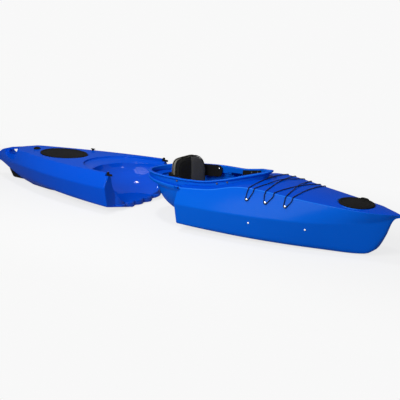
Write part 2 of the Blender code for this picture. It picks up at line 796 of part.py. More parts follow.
def bow_hull(paint, holes):
    """Moulded bow section: shell, bulge, coaming, hatch seat, flutes and bolt holes."""
    hull = finish("bow_hull", hull_loft(bow_lines, bow_x, bow_stations(0.0, BOW_LENGTH, True), BOW_END_ROUND),
                  paint, (JOINT_X, 0.0, 0.0))
    behind = JOINT_X - 2 * TOOTH_DEPTH
    flutes = [(behind, -TEETH_HALF)]
    flutes += [(JOINT_X + front, y) for y, front in tooth_line(TOOTH_FIT)]
    flutes.append((behind, TEETH_HALF))
    combine(hull, tool("flute_cutter", prism(flutes, CUT_LOW, FLUTE_TOP)), "DIFFERENCE")
    shelf = SHEER_JOINT - SHELF_DROP
    combine(hull, tool("bulge_filler", bulge(0.0, TOOTH_DEPTH + 0.5 * WALL, shelf, JOINT_X)), "UNION")
    place = front_hatch_place()
    radius = FRONT_HATCH_RADIUS
    combine(hull, tool("front_hatch_seat", hatch_boss(place, radius, radius, HATCH_SIDES)), "UNION")
    start = TOOTH_DEPTH + WALL
    stations = bow_stations(start, 0.90 * BOW_LENGTH, False)
    combine(hull, tool("bow_cavity", hull_loft(bow_lines, bow_x, stations, 0.0, WALL)), "DIFFERENCE")
    bulge_cavity = tool("bulge_cavity", bulge(-WALL, 0.060, shelf - WALL, JOINT_X))
    room = LATCH_NOSE + LATCH_BARREL / 2
    slots = []
    for side in (1, -1):
        centre = latch_place(JOINT_X, side)
        block = upright(centre, room + WALL, LATCH_LEVEL - LATCH_THICK - 0.002, shelf, 12)
        combine(bulge_cavity, tool(f"latch_block_{side}", block), "DIFFERENCE")
        half = LATCH_THICK / 2 + LATCH_ROOM
        slots.append(upright(centre, room, LATCH_LEVEL - half, LATCH_LEVEL + half, 18))
    combine(hull, bulge_cavity, "DIFFERENCE")
    combine(hull, tool("latch_slots", merge(slots)), "DIFFERENCE")
    combine(hull, tool("cockpit_mouth", cockpit_mouth(shelf - 2 * WALL, CUT_HIGH)), "DIFFERENCE")
    combine(hull, tool("coaming_filler", coaming_ring()), "UNION")
    combine(hull, tool("front_hatch_hole", hatch_hole(place, radius, radius, HATCH_SIDES)), "DIFFERENCE")
    combine(hull, tool("bow_bolt_holes", merge(holes)), "DIFFERENCE")
    smooth(hull)
    return hull


def skeg_outline():
    """Fin's side outline: distance behind the joint face, and height."""
    rear = SKEG_REAR_U
    front = SKEG_FRONT_U
    low = SKEG_BOTTOM
    high = SKEG_BOTTOM + SKEG_TOP
    return [(front, low + 0.018), (front + 0.005, low + 0.006), (front + 0.025, low),
            (rear - 0.060, low), (rear - 0.043, low + 0.006), (rear - 0.013, high - 0.045),
            (rear, high - 0.016), (rear - 0.004, high), (rear - 0.020, high - 0.001),
            (SKEG_PIVOT_U, SKEG_PIVOT_HEIGHT + 0.014), (front + 0.012, SKEG_PIVOT_HEIGHT + 0.008)]


def skeg_slot(grow):
    """Room that the fin needs as it swings up, seen from the side."""
    along_fin = SKEG_REAR_U - SKEG_PIVOT_U
    rise = SKEG_BOTTOM + SKEG_TOP - SKEG_PIVOT_HEIGHT
    reach = math.hypot(along_fin, rise)
    lift = math.atan2(rise, along_fin) + SKEG_SWING
    roof = SKEG_PIVOT_HEIGHT + reach * math.sin(lift) + 0.004 + grow
    front = SKEG_FRONT_U - 0.004 - grow
    rear = SKEG_REAR_U + 0.006 + grow
    return [(stern_x(front), CUT_LOW), (stern_x(rear), CUT_LOW), (stern_x(rear), roof - 0.02),
            (stern_x(rear - 0.02), roof), (stern_x(rear - 0.05), roof),
            (stern_x(front), SKEG_PIVOT_HEIGHT + 0.032 + grow)]


def stern_hull(paint):
    """Moulded stern section: shell, bowl, toothed lip, hatch seat, handle and skeg box."""
    marks = [0.0, 0.003, 0.010, 0.024, 0.09, 0.18, 0.27, 0.36, 0.45, 0.54, 0.63, 0.72, 0.81, 0.90, 0.98, 1.05,
             1.11, 1.165, 1.215, 1.262, 1.305, 1.345, 1.377]
    scale = STERN_LENGTH / marks[-1]
    stations = [-TOOTH_DEPTH - 0.004] + [m * scale for m in marks]
    hull = finish("stern_hull", hull_loft(stern_lines, stern_x, stations, STERN_END_ROUND, 0.0, LIP_ROUND),
                  paint, (STERN_X, 0.0, 0.0))
    ahead = STERN_X + 0.2
    front = [(ahead, TEETH_HALF), (ahead, CUT_SIDE), (STERN_X, CUT_SIDE), (STERN_X, TEETH_HALF)]
    front += [(STERN_X + stand, y) for y, stand in reversed(tooth_line(0.0))]
    front += [(STERN_X, -CUT_SIDE), (ahead, -CUT_SIDE)]
    combine(hull, tool("tooth_trimmer", prism(front, CUT_LOW, CUT_HIGH)), "DIFFERENCE")
    hatch_shape = (rear_hatch_place(), REAR_HATCH_LENGTH, REAR_HATCH_WIDTH, HATCH_SIDES)
    combine(hull, tool("rear_hatch_seat", hatch_boss(*hatch_shape)), "UNION")

    stop = HANDLE_U - HANDLE_LENGTH / 2 - WALL
    middle = [m * scale for m in marks if STERN_FRAME + 0.01 < m * scale < stop - 0.01]
    inner = [STERN_FRAME] + middle[::2] + [stop]
    cavity = tool("stern_cavity", hull_loft(stern_lines, stern_x, inner, 0.0, WALL))
    backing = bulge(SLIDE_FIT + WALL, BOWL_REACH, CUT_HIGH, STERN_X)
    combine(cavity, tool("bowl_backing", backing), "DIFFERENCE")
    wide = SKEG_THICK / 2 + SKEG_ROOM + SKEG_BOX_WALL
    combine(cavity, tool("skeg_box", prism(skeg_slot(SKEG_BOX_WALL), -wide, wide, "Y")), "DIFFERENCE")
    combine(hull, cavity, "DIFFERENCE")

    combine(hull, tool("bowl", bulge(SLIDE_FIT, BOWL_REACH, CUT_HIGH, STERN_X)), "DIFFERENCE")
    narrow = SKEG_THICK / 2 + SKEG_ROOM
    combine(hull, tool("skeg_slot", prism(skeg_slot(0.0), -narrow, narrow, "Y")), "DIFFERENCE")
    combine(hull, tool("rear_hatch_hole", hatch_hole(*hatch_shape)), "DIFFERENCE")

    handle = (stern_x(HANDLE_U), HANDLE_HEIGHT)
    finger = rounded_bar(HANDLE_LENGTH, HANDLE_OPEN, handle, HANDLE_TILT)
    combine(hull, tool("handle_hole", prism(finger, -CUT_SIDE, CUT_SIDE, "Y")), "DIFFERENCE")
    radius = HANDLE_LENGTH / 2
    centre = (handle[0], HANDLE_HEIGHT - HANDLE_OPEN / 2 + radius)
    scoops = []
    for near, far in ((HANDLE_BAR, CUT_SIDE), (-CUT_SIDE, -HANDLE_BAR)):
        scoops.append(prism(circle(radius, 24, centre), near, far, "Y"))
    combine(hull, tool("handle_scoops", merge(scoops)), "DIFFERENCE")

    cuts = []
    for side in (1, -1):
        x, _, level = latch_place(STERN_X, side)
        rear = x - LATCH_BARREL - 0.002
        front = STERN_X + 0.05
        near, far = sorted((side * (SHELF_HALF - 0.01), side * CUT_SIDE))
        plan = [(rear, near), (front, near), (front, far), (rear, far)]
        cuts.append(prism(plan, level - LATCH_THICK / 2 - LATCH_ROOM, CUT_HIGH))
    combine(hull, tool("latch_notches", merge(cuts)), "DIFFERENCE")
    holes = []
    for side in (1, -1):
        x, y, level = latch_place(STERN_X, side)
        holes.append(upright((x, y), PIN_RADIUS + SEAT_GAP, level - 0.030, level, 12))
    deck = deck_height(stern_lines, PLUG_U, 0.0)
    holes.append(upright((stern_x(PLUG_U), 0.0), 0.4 * PLUG_RADIUS + SEAT_GAP, deck - 0.03, deck + 0.02, 14))
    pin_end = wide - SKEG_ROOM
    pin = (stern_x(SKEG_PIVOT_U), -pin_end - SEAT_GAP, SKEG_PIVOT_HEIGHT)
    holes.append(stem_cylinder(pin, (pin[0], pin_end + SEAT_GAP, pin[2]), PIN_RADIUS + SEAT_GAP))
    combine(hull, tool("stern_pin_holes", merge(holes)), "DIFFERENCE")
    smooth(hull)
    return hull


def bolt(name, foot, normal, shank, paint, raised=0.0, nut=False):
    """Round-head bolt whose head stands on a surface point and whose shank runs inward.

    A raised head leaves room for a cord under it.
    """
    place = frame_at(Vector(foot), Vector(normal))
    base = SEAT_GAP + raised
    profile = [(BOLT_RADIUS, -shank), (BOLT_RADIUS, base), (BOLT_HEAD, base),
               (0.6 * BOLT_HEAD, base + BOLT_HEAD_HEIGHT)]
    if nut:
        profile = [(NUT_RADIUS, -shank - NUT_HEIGHT), (NUT_RADIUS, -shank)] + profile
    made = finish(name, turned(profile, place, BOLT_SIDES), paint, foot)
    smooth(made)
    hole = turned([(BOLT_RADIUS + SEAT_GAP, -0.030), (BOLT_RADIUS + SEAT_GAP, 0.020)], place, BOLT_SIDES)
    return made, hole


def coaming_wall(s, side, offset=-LIP_WIDTH):
    """Plan point on a face of the coaming's wall, and the normal out of the cockpit."""
    path = coaming_path()
    line = (path + outward(path) * offset)[:COAMING_STEPS]
    i = min(max(int(np.searchsorted(line[:, 0], s)) - 1, 0), COAMING_STEPS - 2)
    run = line[i + 1] - line[i]
    normal = np.array((-run[1], run[0])) / np.linalg.norm(run)
    y = np.interp(s, line[:, 0], line[:, 1])
    return np.array((JOINT_X + s, side * y)), np.array((normal[0], side * normal[1]))


def backrest_curve(grow, count=44):
    """Outline of the backrest from the front: wide low corners, a broad arched top."""
    middle = 0.258
    points = []
    for k in range(count):
        a = 2 * math.pi * k / count
        c, s = math.cos(a), math.sin(a)
        power = 2.5 if s > 0 else 4.0
        reach = (BACKREST_TOP - middle) if s > 0 else (middle - BACKREST_BOTTOM)
        y = math.copysign(abs(c) ** (2 / power), c) * (BACKREST_HALF + grow)
        z = middle + math.copysign(abs(s) ** (2 / power), s) * (reach + grow)
        points.append((y, z))
    return middle, points


def backrest(pad_paint, shell_paint):
    pivot = (JOINT_X + PIVOT_X, 0.0, PIVOT_HEIGHT)
    middle, curve = backrest_curve(-0.004)
    front = JOINT_X + BACKREST_X
    back = front - PAD_THICK
    rows = []
    for share in (0.12, 0.35, 0.60, 0.80, 0.93, 1.0):
        crown = 0.014 * math.sqrt(max(1 - share ** 4, 0.0)) - 0.012
        row = []
        for y, z in curve:
            fold = 0.010 * math.exp(-(y * share / 0.014) ** 2)
            row.append((front + crown - fold * (1 - share ** 6), y * share, middle + (z - middle) * share))
        rows.append(row)
    rows.append([(front - 0.024, y * 1.012, middle + (z - middle) * 1.012) for y, z in curve])
    for share in (1.0, 0.5):
        rows.append([(back, y * share, middle + (z - middle) * share) for y, z in curve])
    pad = finish("backrest_pad", skin(rows), pad_paint, pivot)
    smooth(pad, 60)

    rear = back - SEAT_GAP
    outline = backrest_curve(0.003)[1]
    inner = backrest_curve(-0.003)[1]
    rows = [[(rear, y, z) for y, z in outline], [(rear - 0.6 * SHELL_THICK, y, z) for y, z in outline],
            [(rear - SHELL_THICK, y, z) for y, z in inner]]
    shell = finish("backrest_shell", skin(rows), shell_paint, pivot)
    smooth(shell)
    for side, tag in ((1, "left"), (-1, "right")):
        arm = backrest_arm(f"backrest_arm_{tag}", side, rear - SHELL_THICK - SEAT_GAP, shell_paint, pivot)
        middle = arm_face(side)
        end = middle + ARM_THICK / 2 + ARM_ROOM - BOSS_ROOM
        boss = stem_cylinder((pivot[0], side * middle, pivot[2]), (pivot[0], side * end, pivot[2]), ARM_BOSS)
        combine(arm, tool(f"arm_boss_{tag}", boss), "UNION")
        hole = stem_cylinder((pivot[0], side * 0.15, pivot[2]), (pivot[0], side * 0.26, pivot[2]),
                             BOLT_RADIUS + SEAT_GAP)
        combine(arm, tool(f"arm_hole_{tag}", hole), "DIFFERENCE")
        smooth(arm)


def arm_face(side):
    """Plan y of an arm's middle at the pivot: just inside the coaming's wall."""
    point = coaming_wall(PIVOT_X, side)[0]
    return abs(point[1]) - ARM_ROOM - ARM_THICK / 2


def backrest_arm(name, side, shell_back, paint, pivot):
    """Strip from behind the shell to the pivot, its front end rounded."""
    low = PIVOT_HEIGHT - 0.055
    high = low + ARM_HEIGHT
    y = arm_face(1)
    lying = shell_back - ARM_THICK / 2
    nose = JOINT_X + PIVOT_X + 0.024
    path = []
    for share in (0.0, 0.10, 0.28, 0.55, 1.0):
        cut = 0.030 * (1 - math.sqrt(1 - (1 - share) ** 2))
        path.append((nose - 0.030 * share, y, low + cut, high - cut))
    bend = BACKREST_HALF + 0.020
    path.append((JOINT_X + BACKREST_X - 0.012, bend + 0.008, low, high))
    path.append((lying + 0.012, bend, low, high))
    path.append((lying + 0.003, bend - 0.010, low, high))
    path.append((lying, bend - 0.022, low, high))
    path.append((lying, bend - 0.060, low + 0.006, high - 0.006))
    plan = np.array([(x, w) for x, w, _, _ in path])
    run = np.gradient(plan, axis=0)
    run /= np.linalg.norm(run, axis=1)[:, None]
    across = np.stack([-run[:, 1], run[:, 0]], 1) * ARM_THICK / 2
    rows = []
    for (x, w), n, (_, _, a, b) in zip(plan, across, path):
        rows.append([(x + n[0], side * (w + n[1]), a), (x - n[0], side * (w - n[1]), a),
                     (x - n[0], side * (w - n[1]), b), (x + n[0], side * (w + n[1]), b)])
    return finish(name, skin(rows), paint, pivot)


def thigh_brace(name, side, paint, holes):
    """Curved flange on the coaming's inner wall, with a shelf that reaches over the thigh."""
    rows = []
    steps = 9
    for k in range(steps):
        share = k / (steps - 1)
        s = between(BRACE_REAR - 0.087, BRACE_FRONT + 0.034, share)
        point, normal = coaming_wall(s, side)
        point = point - normal * SEAT_GAP
        top = coaming_height(s) - 0.008
        low = top - 0.046
        reach = 0.006 + 0.046 * math.sin(math.pi * share) ** 0.7
        profile = ((0.0, top), (0.0, low + 0.004), (-0.004, low), (-reach, low - 0.006), (-reach, low),
                   (-0.0055, low + 0.008), (-0.0050, top))
        rows.append([(point[0] + normal[0] * off, point[1] + normal[1] * off, z) for off, z in profile])
    brace = finish(name, skin(rows), paint)
    combine(brace, tool(f"{name}_holes", merge(holes)), "DIFFERENCE")
    smooth(brace)
    return brace


def panel_normal(u, height, side):
    """Point and outward normal on the lower side panel."""
    def at(u, z):
        return np.array((bow_x(u), side_width(bow_lines, u, z), z))
    here = at(u, height)
    normal = np.cross(at(u + 0.02, height) - here, at(u, height - 0.02) - here)
    normal /= np.linalg.norm(normal)
    if normal[1] < 0:
        normal = -normal
    here[1] *= side
    normal[1] *= side
    return here, normal


def foot_brace(side, tag, metal, plastic, steel):
    """Rail on two feet inside the hull, its bolts, and the pedal that slides on it."""
    holes = []
    seats = []
    long = WALL + RAIL_STAND + RAIL_HALF_THICK
    for u, end in ((RAIL_REAR_U, "rear"), (RAIL_FRONT_U, "front")):
        here, normal = panel_normal(u, RAIL_HEIGHT, side)
        _, hole = bolt(f"foot_rail_bolt_{tag}_{end}", here, normal, long, steel)
        holes.append(hole)
        seats.append(here - normal * (WALL + RAIL_STAND))
    line = (seats[1] - seats[0]) / np.linalg.norm(seats[1] - seats[0])
    place = frame_at((seats[0] + seats[1]) / 2, line)
    length = np.linalg.norm(seats[1] - seats[0]) + 0.05
    bar = rail_section(0.0)
    rail_mesh = prism(bar, -length / 2, length / 2)
    bmesh.ops.transform(rail_mesh, matrix=place, verts=rail_mesh.verts)
    rail = finish(f"foot_rail_{tag}", rail_mesh, metal, place.translation)
    feet = []
    for u in (RAIL_REAR_U, RAIL_FRONT_U):
        here, normal = panel_normal(u, RAIL_HEIGHT, side)
        outer = here - normal * (WALL + 0.0012)
        feet.append(stem_cylinder(outer - normal * RAIL_STAND, outer, RAIL_FOOT))
    combine(rail, tool(f"rail_feet_{tag}", merge(feet)), "UNION")
    cut = merge([hole.copy() for hole in holes])
    combine(rail, tool(f"rail_holes_{tag}", cut), "DIFFERENCE")
    smooth(rail)

    pedal_mesh = prism(pedal_section(side), -CARRIAGE_HALF, CARRIAGE_HALF)
    bmesh.ops.transform(pedal_mesh, matrix=place, verts=pedal_mesh.verts)
    pedal = finish(f"foot_pedal_{tag}", pedal_mesh, plastic, place.translation)
    plate = pedal_plate(side)
    bmesh.ops.transform(plate, matrix=place, verts=plate.verts)
    combine(pedal, tool(f"pedal_plate_{tag}", plate), "UNION")
    channel = prism(rail_section(0.0006), -0.1, 0.1)
    bmesh.ops.transform(channel, matrix=place, verts=channel.verts)
    combine(pedal, tool(f"pedal_channel_{tag}", channel), "DIFFERENCE")
    smooth(pedal)
    return holes


def rail_section(grow):
    """Rail's section across its line: local X runs across the boat, local Y up."""
    thick = RAIL_HALF_THICK + grow
    tall = RAIL_HALF_HEIGHT + grow
    return [(-thick, -tall), (thick, -tall), (thick, tall), (-thick, tall)]


def pedal_section(side):
    """Carriage round the rail."""
    inner = -(RAIL_HALF_THICK + 0.006) * side
    outer = (RAIL_HALF_THICK + 0.005) * side
    tall = RAIL_HALF_HEIGHT + 0.006
    return [(outer, -tall), (inner, -tall), (inner, tall), (outer, tall)]


def pedal_plate(side):
    """Foot plate that faces aft, a little dished, its corners cut."""
    half = PEDAL_HEIGHT / 2
    start = RAIL_HALF_THICK + 0.003
    near, far = -start * side, -(start + PEDAL_WIDTH) * side
    rows = []
    for share in (0.0, 0.25, 0.5, 0.75, 1.0):
        across = between(near, far, share)
        dish = 0.006 * math.sin(math.pi * share)
        tall = half - 0.014 * abs(2 * share - 1) ** 2
        rows.append([(across, -tall, -0.020 + dish), (across, tall, -0.020 + dish),
                     (across, tall, -0.010 + dish), (across, -tall, -0.010 + dish)])
    return skin(rows)


def seat_outline(inset):
    """Plan of the seat: a half ellipse in the bulge, wider and square-cornered ahead of it."""
    length, width = bulge_size(BULGE_FLOOR)
    waist = width - WALL - SEAT_CLEAR
    back = SEAT_WAIST + length - WALL - SEAT_CLEAR
    points = []
    for k in range(13):
        a = math.pi * (0.5 + k / 12)
        points.append((SEAT_WAIST - (back - inset) * abs(math.cos(a)), (waist - inset) * math.sin(a)))
    side = []
    for share in (0.25, 0.5, 0.75, 1.0):
        side.append((SEAT_WAIST + 0.012 + 0.05 * share,
                     between(waist, SEAT_HALF, (1 - math.cos(math.pi * share)) / 2) - inset))
    for k in range(6):
        a = math.radians(90 - 18 * k)
        side.append((SEAT_FRONT - SEAT_CORNER + (SEAT_CORNER - inset) * math.cos(a),
                     SEAT_HALF - SEAT_CORNER + (SEAT_CORNER - inset) * math.sin(a)))
    starboard = [(x, -y) for x, y in side]
    return [(JOINT_X + x, y) for x, y in points + starboard + side[::-1]]


def seat(pan_paint, pad_paint):
    """Pan on two runners over the cockpit floor, and the cushion on it."""
    low = BULGE_FLOOR + WALL + 0.0006
    pan = finish("seat_base", prism(seat_outline(0.0), low, low + SEAT_PAN), pan_paint, (JOINT_X, 0.0, low))
    near, far = RUNNER_Y - RUNNER_WIDTH / 2, RUNNER_Y + RUNNER_WIDTH / 2
    runners = []
    for side in (1, -1):
        rows = []
        for share in (0.0, 0.33, 0.67, 1.0):
            u = between(0.070, SEAT_FRONT - 0.020, share)
            floor = max(floor_height(bow_lines, u, y, WALL) for y in (near, far)) + 0.001
            rows.append([(bow_x(u), side * near, floor), (bow_x(u), side * far, floor),
                         (bow_x(u), side * far, low + 0.004), (bow_x(u), side * near, low + 0.004)])
        runners.append(skin(rows))
    combine(pan, tool("seat_runners", merge(runners)), "UNION")

    top = low + SEAT_PAN + SEAT_GAP
    outline = seat_outline(0.004)
    middle = JOINT_X + SEAT_WAIST + 0.03

    def pulled(share, z):
        return [(middle + (x - middle) * share, y * share, z) for x, y in outline]

    rows = [pulled(0.97, top), pulled(1.0, top + 0.012), pulled(0.995, top + 0.024)]
    for share in (0.965, 0.90, 0.78, 0.62, 0.42, 0.2):
        row = []
        for x, y, _ in pulled(share, 0.0):
            crown = (SEAT_PAD_THICK - 0.024) * math.sqrt(1 - share ** 3)
            groove = math.exp(-(y / 0.012) ** 2) + math.exp(-((abs(y) - 0.085) / 0.010) ** 2)
            row.append((x, y, top + 0.024 + crown - 0.008 * groove * (1 - share ** 8)))
        rows.append(row)
    pad = finish("seat_pad", skin(rows), pad_paint, (JOINT_X, 0.0, top))
    smooth(pad, 60)


def latch(side, tag, rubber, steel):
    x, y, level = latch_place(STERN_X, side)
    low = level - LATCH_THICK / 2
    high = level + LATCH_THICK / 2
    nose = x + LATCH_NOSE
    half = NOSE_HALF
    outline = [(x, y - half), (nose - half, y - half), (nose, y - 0.3 * half),
               (nose, y + 0.3 * half), (nose - half, y + half), (x, y + half)]
    barrel = upright((x, y), LATCH_BARREL, low, level + 0.017, 14)
    hook = finish(f"latch_hook_{tag}", barrel, rubber, (x, y, level))
    combine(hook, tool(f"latch_nose_{tag}", prism(outline, low, high)), "UNION")
    bore = upright((x, y), PIN_RADIUS + SEAT_GAP, low - 0.01, level + 0.03, 12)
    combine(hook, tool(f"latch_bore_{tag}", bore), "DIFFERENCE")
    smooth(hook)
    place = Matrix.Translation((x, y, level))
    pin = turned([(PIN_RADIUS, -0.0295), (PIN_RADIUS, 0.0173), (0.0065, 0.0173), (0.0065, 0.0185),
                  (0.004, 0.0200)], place)
    smooth(finish(f"latch_pin_{tag}", pin, steel, (x, y, level)))


def keeper_place(side):
    """Where the keeper pin stands in the bow section's slot."""
    x, y, level = latch_place(JOINT_X, side)
    return (x - NOSE_HALF - PIN_RADIUS - KEEPER_ROOM, y - side * KEEPER_INBOARD, level)


def latch_keeper(side, tag, steel):
    """Upright pin in the bow section's slot, and the hole it is pressed into."""
    x, y, level = keeper_place(side)
    half = LATCH_THICK / 2 + LATCH_ROOM + 0.004
    pin = upright((x, y), PIN_RADIUS, level - half, level + half, 12)
    smooth(finish(f"latch_keeper_{tag}", pin, steel, (x, y, level)))
    return upright((x, y), PIN_RADIUS + SEAT_GAP, level - half - SEAT_GAP, level + half + SEAT_GAP, 12)


def skeg(rubber, steel):
    pivot = (stern_x(SKEG_PIVOT_U), 0.0, SKEG_PIVOT_HEIGHT)
    half = SKEG_THICK / 2
    outline = [(stern_x(u), z) for u, z in skeg_outline()]
    fin = finish("skeg", prism(outline, -half, half, "Y"), rubber, pivot)
    bore = stem_cylinder((pivot[0], -0.02, pivot[2]), (pivot[0], 0.02, pivot[2]), PIN_RADIUS + SEAT_GAP)
    combine(fin, tool("skeg_bore", bore), "DIFFERENCE")
    end = SKEG_THICK / 2 + SKEG_BOX_WALL
    pin = stem_cylinder((pivot[0], -end, pivot[2]), (pivot[0], end, pivot[2]), PIN_RADIUS)
    smooth(finish("skeg_pin", pin, steel, pivot))


def drain_plug(rubber):
    deck = deck_height(stern_lines, PLUG_U, 0.0)
    place = Matrix.Translation((stern_x(PLUG_U), 0.0, deck))
    stem = 0.4 * PLUG_RADIUS
    profile = [(stem, -0.016), (stem, SEAT_GAP), (PLUG_RADIUS, SEAT_GAP), (PLUG_RADIUS, 0.006),
               (0.9 * PLUG_RADIUS, 0.009), (0.55 * PLUG_RADIUS, PLUG_HEIGHT),
               (0.2 * PLUG_RADIUS, PLUG_HEIGHT)]
    smooth(finish("drain_plug", turned(profile, place, 14), rubber, place.translation))


def skeg_line_cleat(rubber):
    """Small two-horned cleat on the port side of the stern deck."""
    x = stern_x(CLEAT_U)
    near, far = CLEAT_Y - 0.006, CLEAT_Y + 0.006
    deck = max(deck_height(stern_lines, CLEAT_U + d, near) for d in (-0.016, 0.016)) + SEAT_GAP
    outline = [(x - 0.010, deck), (x + 0.010, deck), (x + 0.006, deck + 0.007),
               (x + 0.018, deck + 0.010), (x + 0.016, deck + 0.014), (x - 0.016, deck + 0.014),
               (x - 0.018, deck + 0.010), (x - 0.006, deck + 0.007)]
    finish("skeg_line_cleat", prism(outline, near, far, "Y"), rubber, (x, CLEAT_Y, deck))


def cord_point(u, y):
    """Point on the bungee's middle, over the foredeck."""
    return np.array((bow_x(u), y, deck_height(bow_lines, u, y) + BUNGEE_RADIUS + BUNGEE_CLEAR))


def over_gunwale(u, side):
    """Cord's middle round the gunwale's edge, from the side panel up to the deck."""
    half = half_section(bow_lines(u))
    points = []
    for k in GUNWALE[::-1]:
        run = half[k + 1] - half[k - 1]
        normal = np.array((-run[1], run[0])) / np.linalg.norm(run)
        y, z = half[k] + normal * (BUNGEE_RADIUS + BUNGEE_CLEAR)
        points.append(np.array((bow_x(u), side * y, z)))
    return points


def bungee_route():
    """The cord's middle: once round each bolt, and across the foredeck between them."""
    places = {name: (here, normal) for name, here, normal in bungee_bolt_places()}
    turns = []
    for i, (side, row, behind, ahead) in enumerate(BUNGEE_TURNS):
        last = BUNGEE_TURNS[i - 1][1]
        following = BUNGEE_TURNS[(i + 1) % len(BUNGEE_TURNS)][1]
        way = 1 if following > last else -1
        u = BUNGEE_ROWS[row]
        first, second = (u - behind, u + ahead) if way > 0 else (u + ahead, u - behind)
        turns.append((side, row, way, first, second))
    route = []
    for i, (side, row, way, first, second) in enumerate(turns):
        here, normal = places[f"bungee_bolt_{'left' if side > 0 else 'right'}_{row + 1}"]
        forward = np.array((1.0, 0.0, 0.0)) - normal * normal[0]
        forward /= np.linalg.norm(forward)
        down = np.cross(normal, forward)
        down *= -math.copysign(1.0, down[2])
        middle = here + normal * (BUNGEE_RADIUS + BUNGEE_CLEAR)
        loop = BOLT_RADIUS + BUNGEE_RADIUS + 0.0008
        route += over_gunwale(first, side)[::-1]
        for a in (-80, -28, 28, 80):
            r = math.radians(a)
            route.append(middle + loop * (forward * way * math.sin(r) + down * math.cos(r)))
        start = over_gunwale(second, side)
        route += start
        reach = turns[(i + 1) % len(turns)]
        stop = over_gunwale(reach[3], reach[0])[-1]
        for share in (0.2, 0.5, 0.8):
            point = between(start[-1], stop, share)
            over = 2 * BUNGEE_RADIUS + 0.0008 if share == 0.5 and BUNGEE_OVER[i] else 0.0
            route.append(cord_point(point[0] - JOINT_X, point[1]) + np.array((0.0, 0.0, over)))
    return route


def bungee_object(paint):
    route = bungee_route()
    curve = bpy.data.curves.new("deck_bungee", "CURVE")
    curve.dimensions = "3D"
    curve.bevel_depth = BUNGEE_RADIUS
    curve.bevel_resolution = 2
    curve.use_fill_caps = True
    line = curve.splines.new("POLY")
    line.points.add(len(route) - 1)
    origin = np.array((bow_x(BUNGEE_ROWS[1]), 0.0, 0.3))
    for point, place in zip(line.points, route):
        point.co = (*(place - origin), 1.0)
    line.use_cyclic_u = True
    made = bpy.data.objects.new("deck_bungee", curve)
    made.location = origin
    bpy.context.collection.objects.link(made)
    curve.materials.append(paint)
    return made


def main():
    for old in list(bpy.data.objects):
        bpy.data.objects.remove(old, do_unlink=True)
    blue = material("hull_blue", (0.004, 0.075, 0.62), 0.25)
    black = material("black_plastic", (0.012, 0.013, 0.014), 0.45)
    rubber = material("hatch_rubber", (0.014, 0.014, 0.014), 0.5)
    charcoal = material("seat_fabric", (0.030, 0.030, 0.030), 0.8)
    steel = material("stainless_steel", (0.72, 0.72, 0.70), 0.25, 1.0)
    alloy = material("rail_alloy", (0.45, 0.46, 0.48), 0.35, 1.0)
    cord = material("bungee_cord", (0.010, 0.012, 0.020), 0.7)

    holes = []
    for name, here, normal in bungee_bolt_places():
        _, hole = bolt(name, here, normal, 0.012, steel, raised=2 * BUNGEE_RADIUS + 0.002)
        holes.append(hole)
    brace_holes = {}
    for name, s, side, height in brace_bolt_places():
        point, normal = coaming_wall(s, side, COAMING_WALL + 0.003 - LIP_WIDTH)
        long = COAMING_WALL + 0.003
        if name.startswith("backrest"):
            normal = np.array((0.0, float(side)))
            long = abs(point[1]) - arm_face(1) + ARM_THICK / 2 + 0.001
        else:
            long += BRACE_PLATE
        _, hole = bolt(name, (*point, height), (*normal, 0.0), long, steel, nut=True)
        holes.append(hole)
        brace_holes.setdefault(side, []).append(hole)
    for side, tag in ((1, "left"), (-1, "right")):
        cuts = [hole.copy() for hole in brace_holes[side][1:]]
        thigh_brace(f"thigh_brace_{tag}", side, black, cuts)
        holes += foot_brace(side, tag, alloy, black, steel)
        holes.append(latch_keeper(side, tag, steel))
        latch(side, tag, black, steel)
    bow_hull(blue, holes)
    stern_hull(blue)
    backrest(charcoal, black)
    seat(black, charcoal)
    hatch("front_hatch", front_hatch_place(), FRONT_HATCH_RADIUS, FRONT_HATCH_RADIUS, rubber, black)
    hatch("rear_hatch", rear_hatch_place(), REAR_HATCH_LENGTH, REAR_HATCH_WIDTH, rubber, black)
    bungee_object(cord)
    skeg(black, steel)
    drain_plug(rubber)
    skeg_line_cleat(black)


if __name__ == "__main__":
    main()
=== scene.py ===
import json
import math

import bmesh
import bpy
import numpy as np
from mathutils import Matrix, Vector

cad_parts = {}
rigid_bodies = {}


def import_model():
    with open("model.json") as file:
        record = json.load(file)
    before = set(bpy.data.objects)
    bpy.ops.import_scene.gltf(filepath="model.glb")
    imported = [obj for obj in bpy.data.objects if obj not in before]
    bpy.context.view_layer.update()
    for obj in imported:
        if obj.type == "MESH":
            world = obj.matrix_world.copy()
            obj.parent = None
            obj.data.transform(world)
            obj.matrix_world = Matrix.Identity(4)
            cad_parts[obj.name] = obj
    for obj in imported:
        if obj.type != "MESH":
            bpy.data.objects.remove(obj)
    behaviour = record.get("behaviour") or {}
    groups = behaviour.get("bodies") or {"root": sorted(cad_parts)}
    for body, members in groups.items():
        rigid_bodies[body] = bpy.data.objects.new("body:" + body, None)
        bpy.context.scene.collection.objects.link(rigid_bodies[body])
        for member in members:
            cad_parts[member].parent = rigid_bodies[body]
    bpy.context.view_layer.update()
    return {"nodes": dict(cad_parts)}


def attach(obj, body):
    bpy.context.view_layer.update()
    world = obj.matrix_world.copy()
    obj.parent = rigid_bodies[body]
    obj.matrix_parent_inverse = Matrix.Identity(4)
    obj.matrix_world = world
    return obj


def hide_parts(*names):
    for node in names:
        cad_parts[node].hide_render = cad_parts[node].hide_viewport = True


for leftover in list(bpy.data.objects):
    bpy.data.objects.remove(leftover, do_unlink=True)
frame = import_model()
bow, stern = "bow_section", "stern_section"
nodes = frame["nodes"]
print("frame loaded:", len(nodes), "nodes")

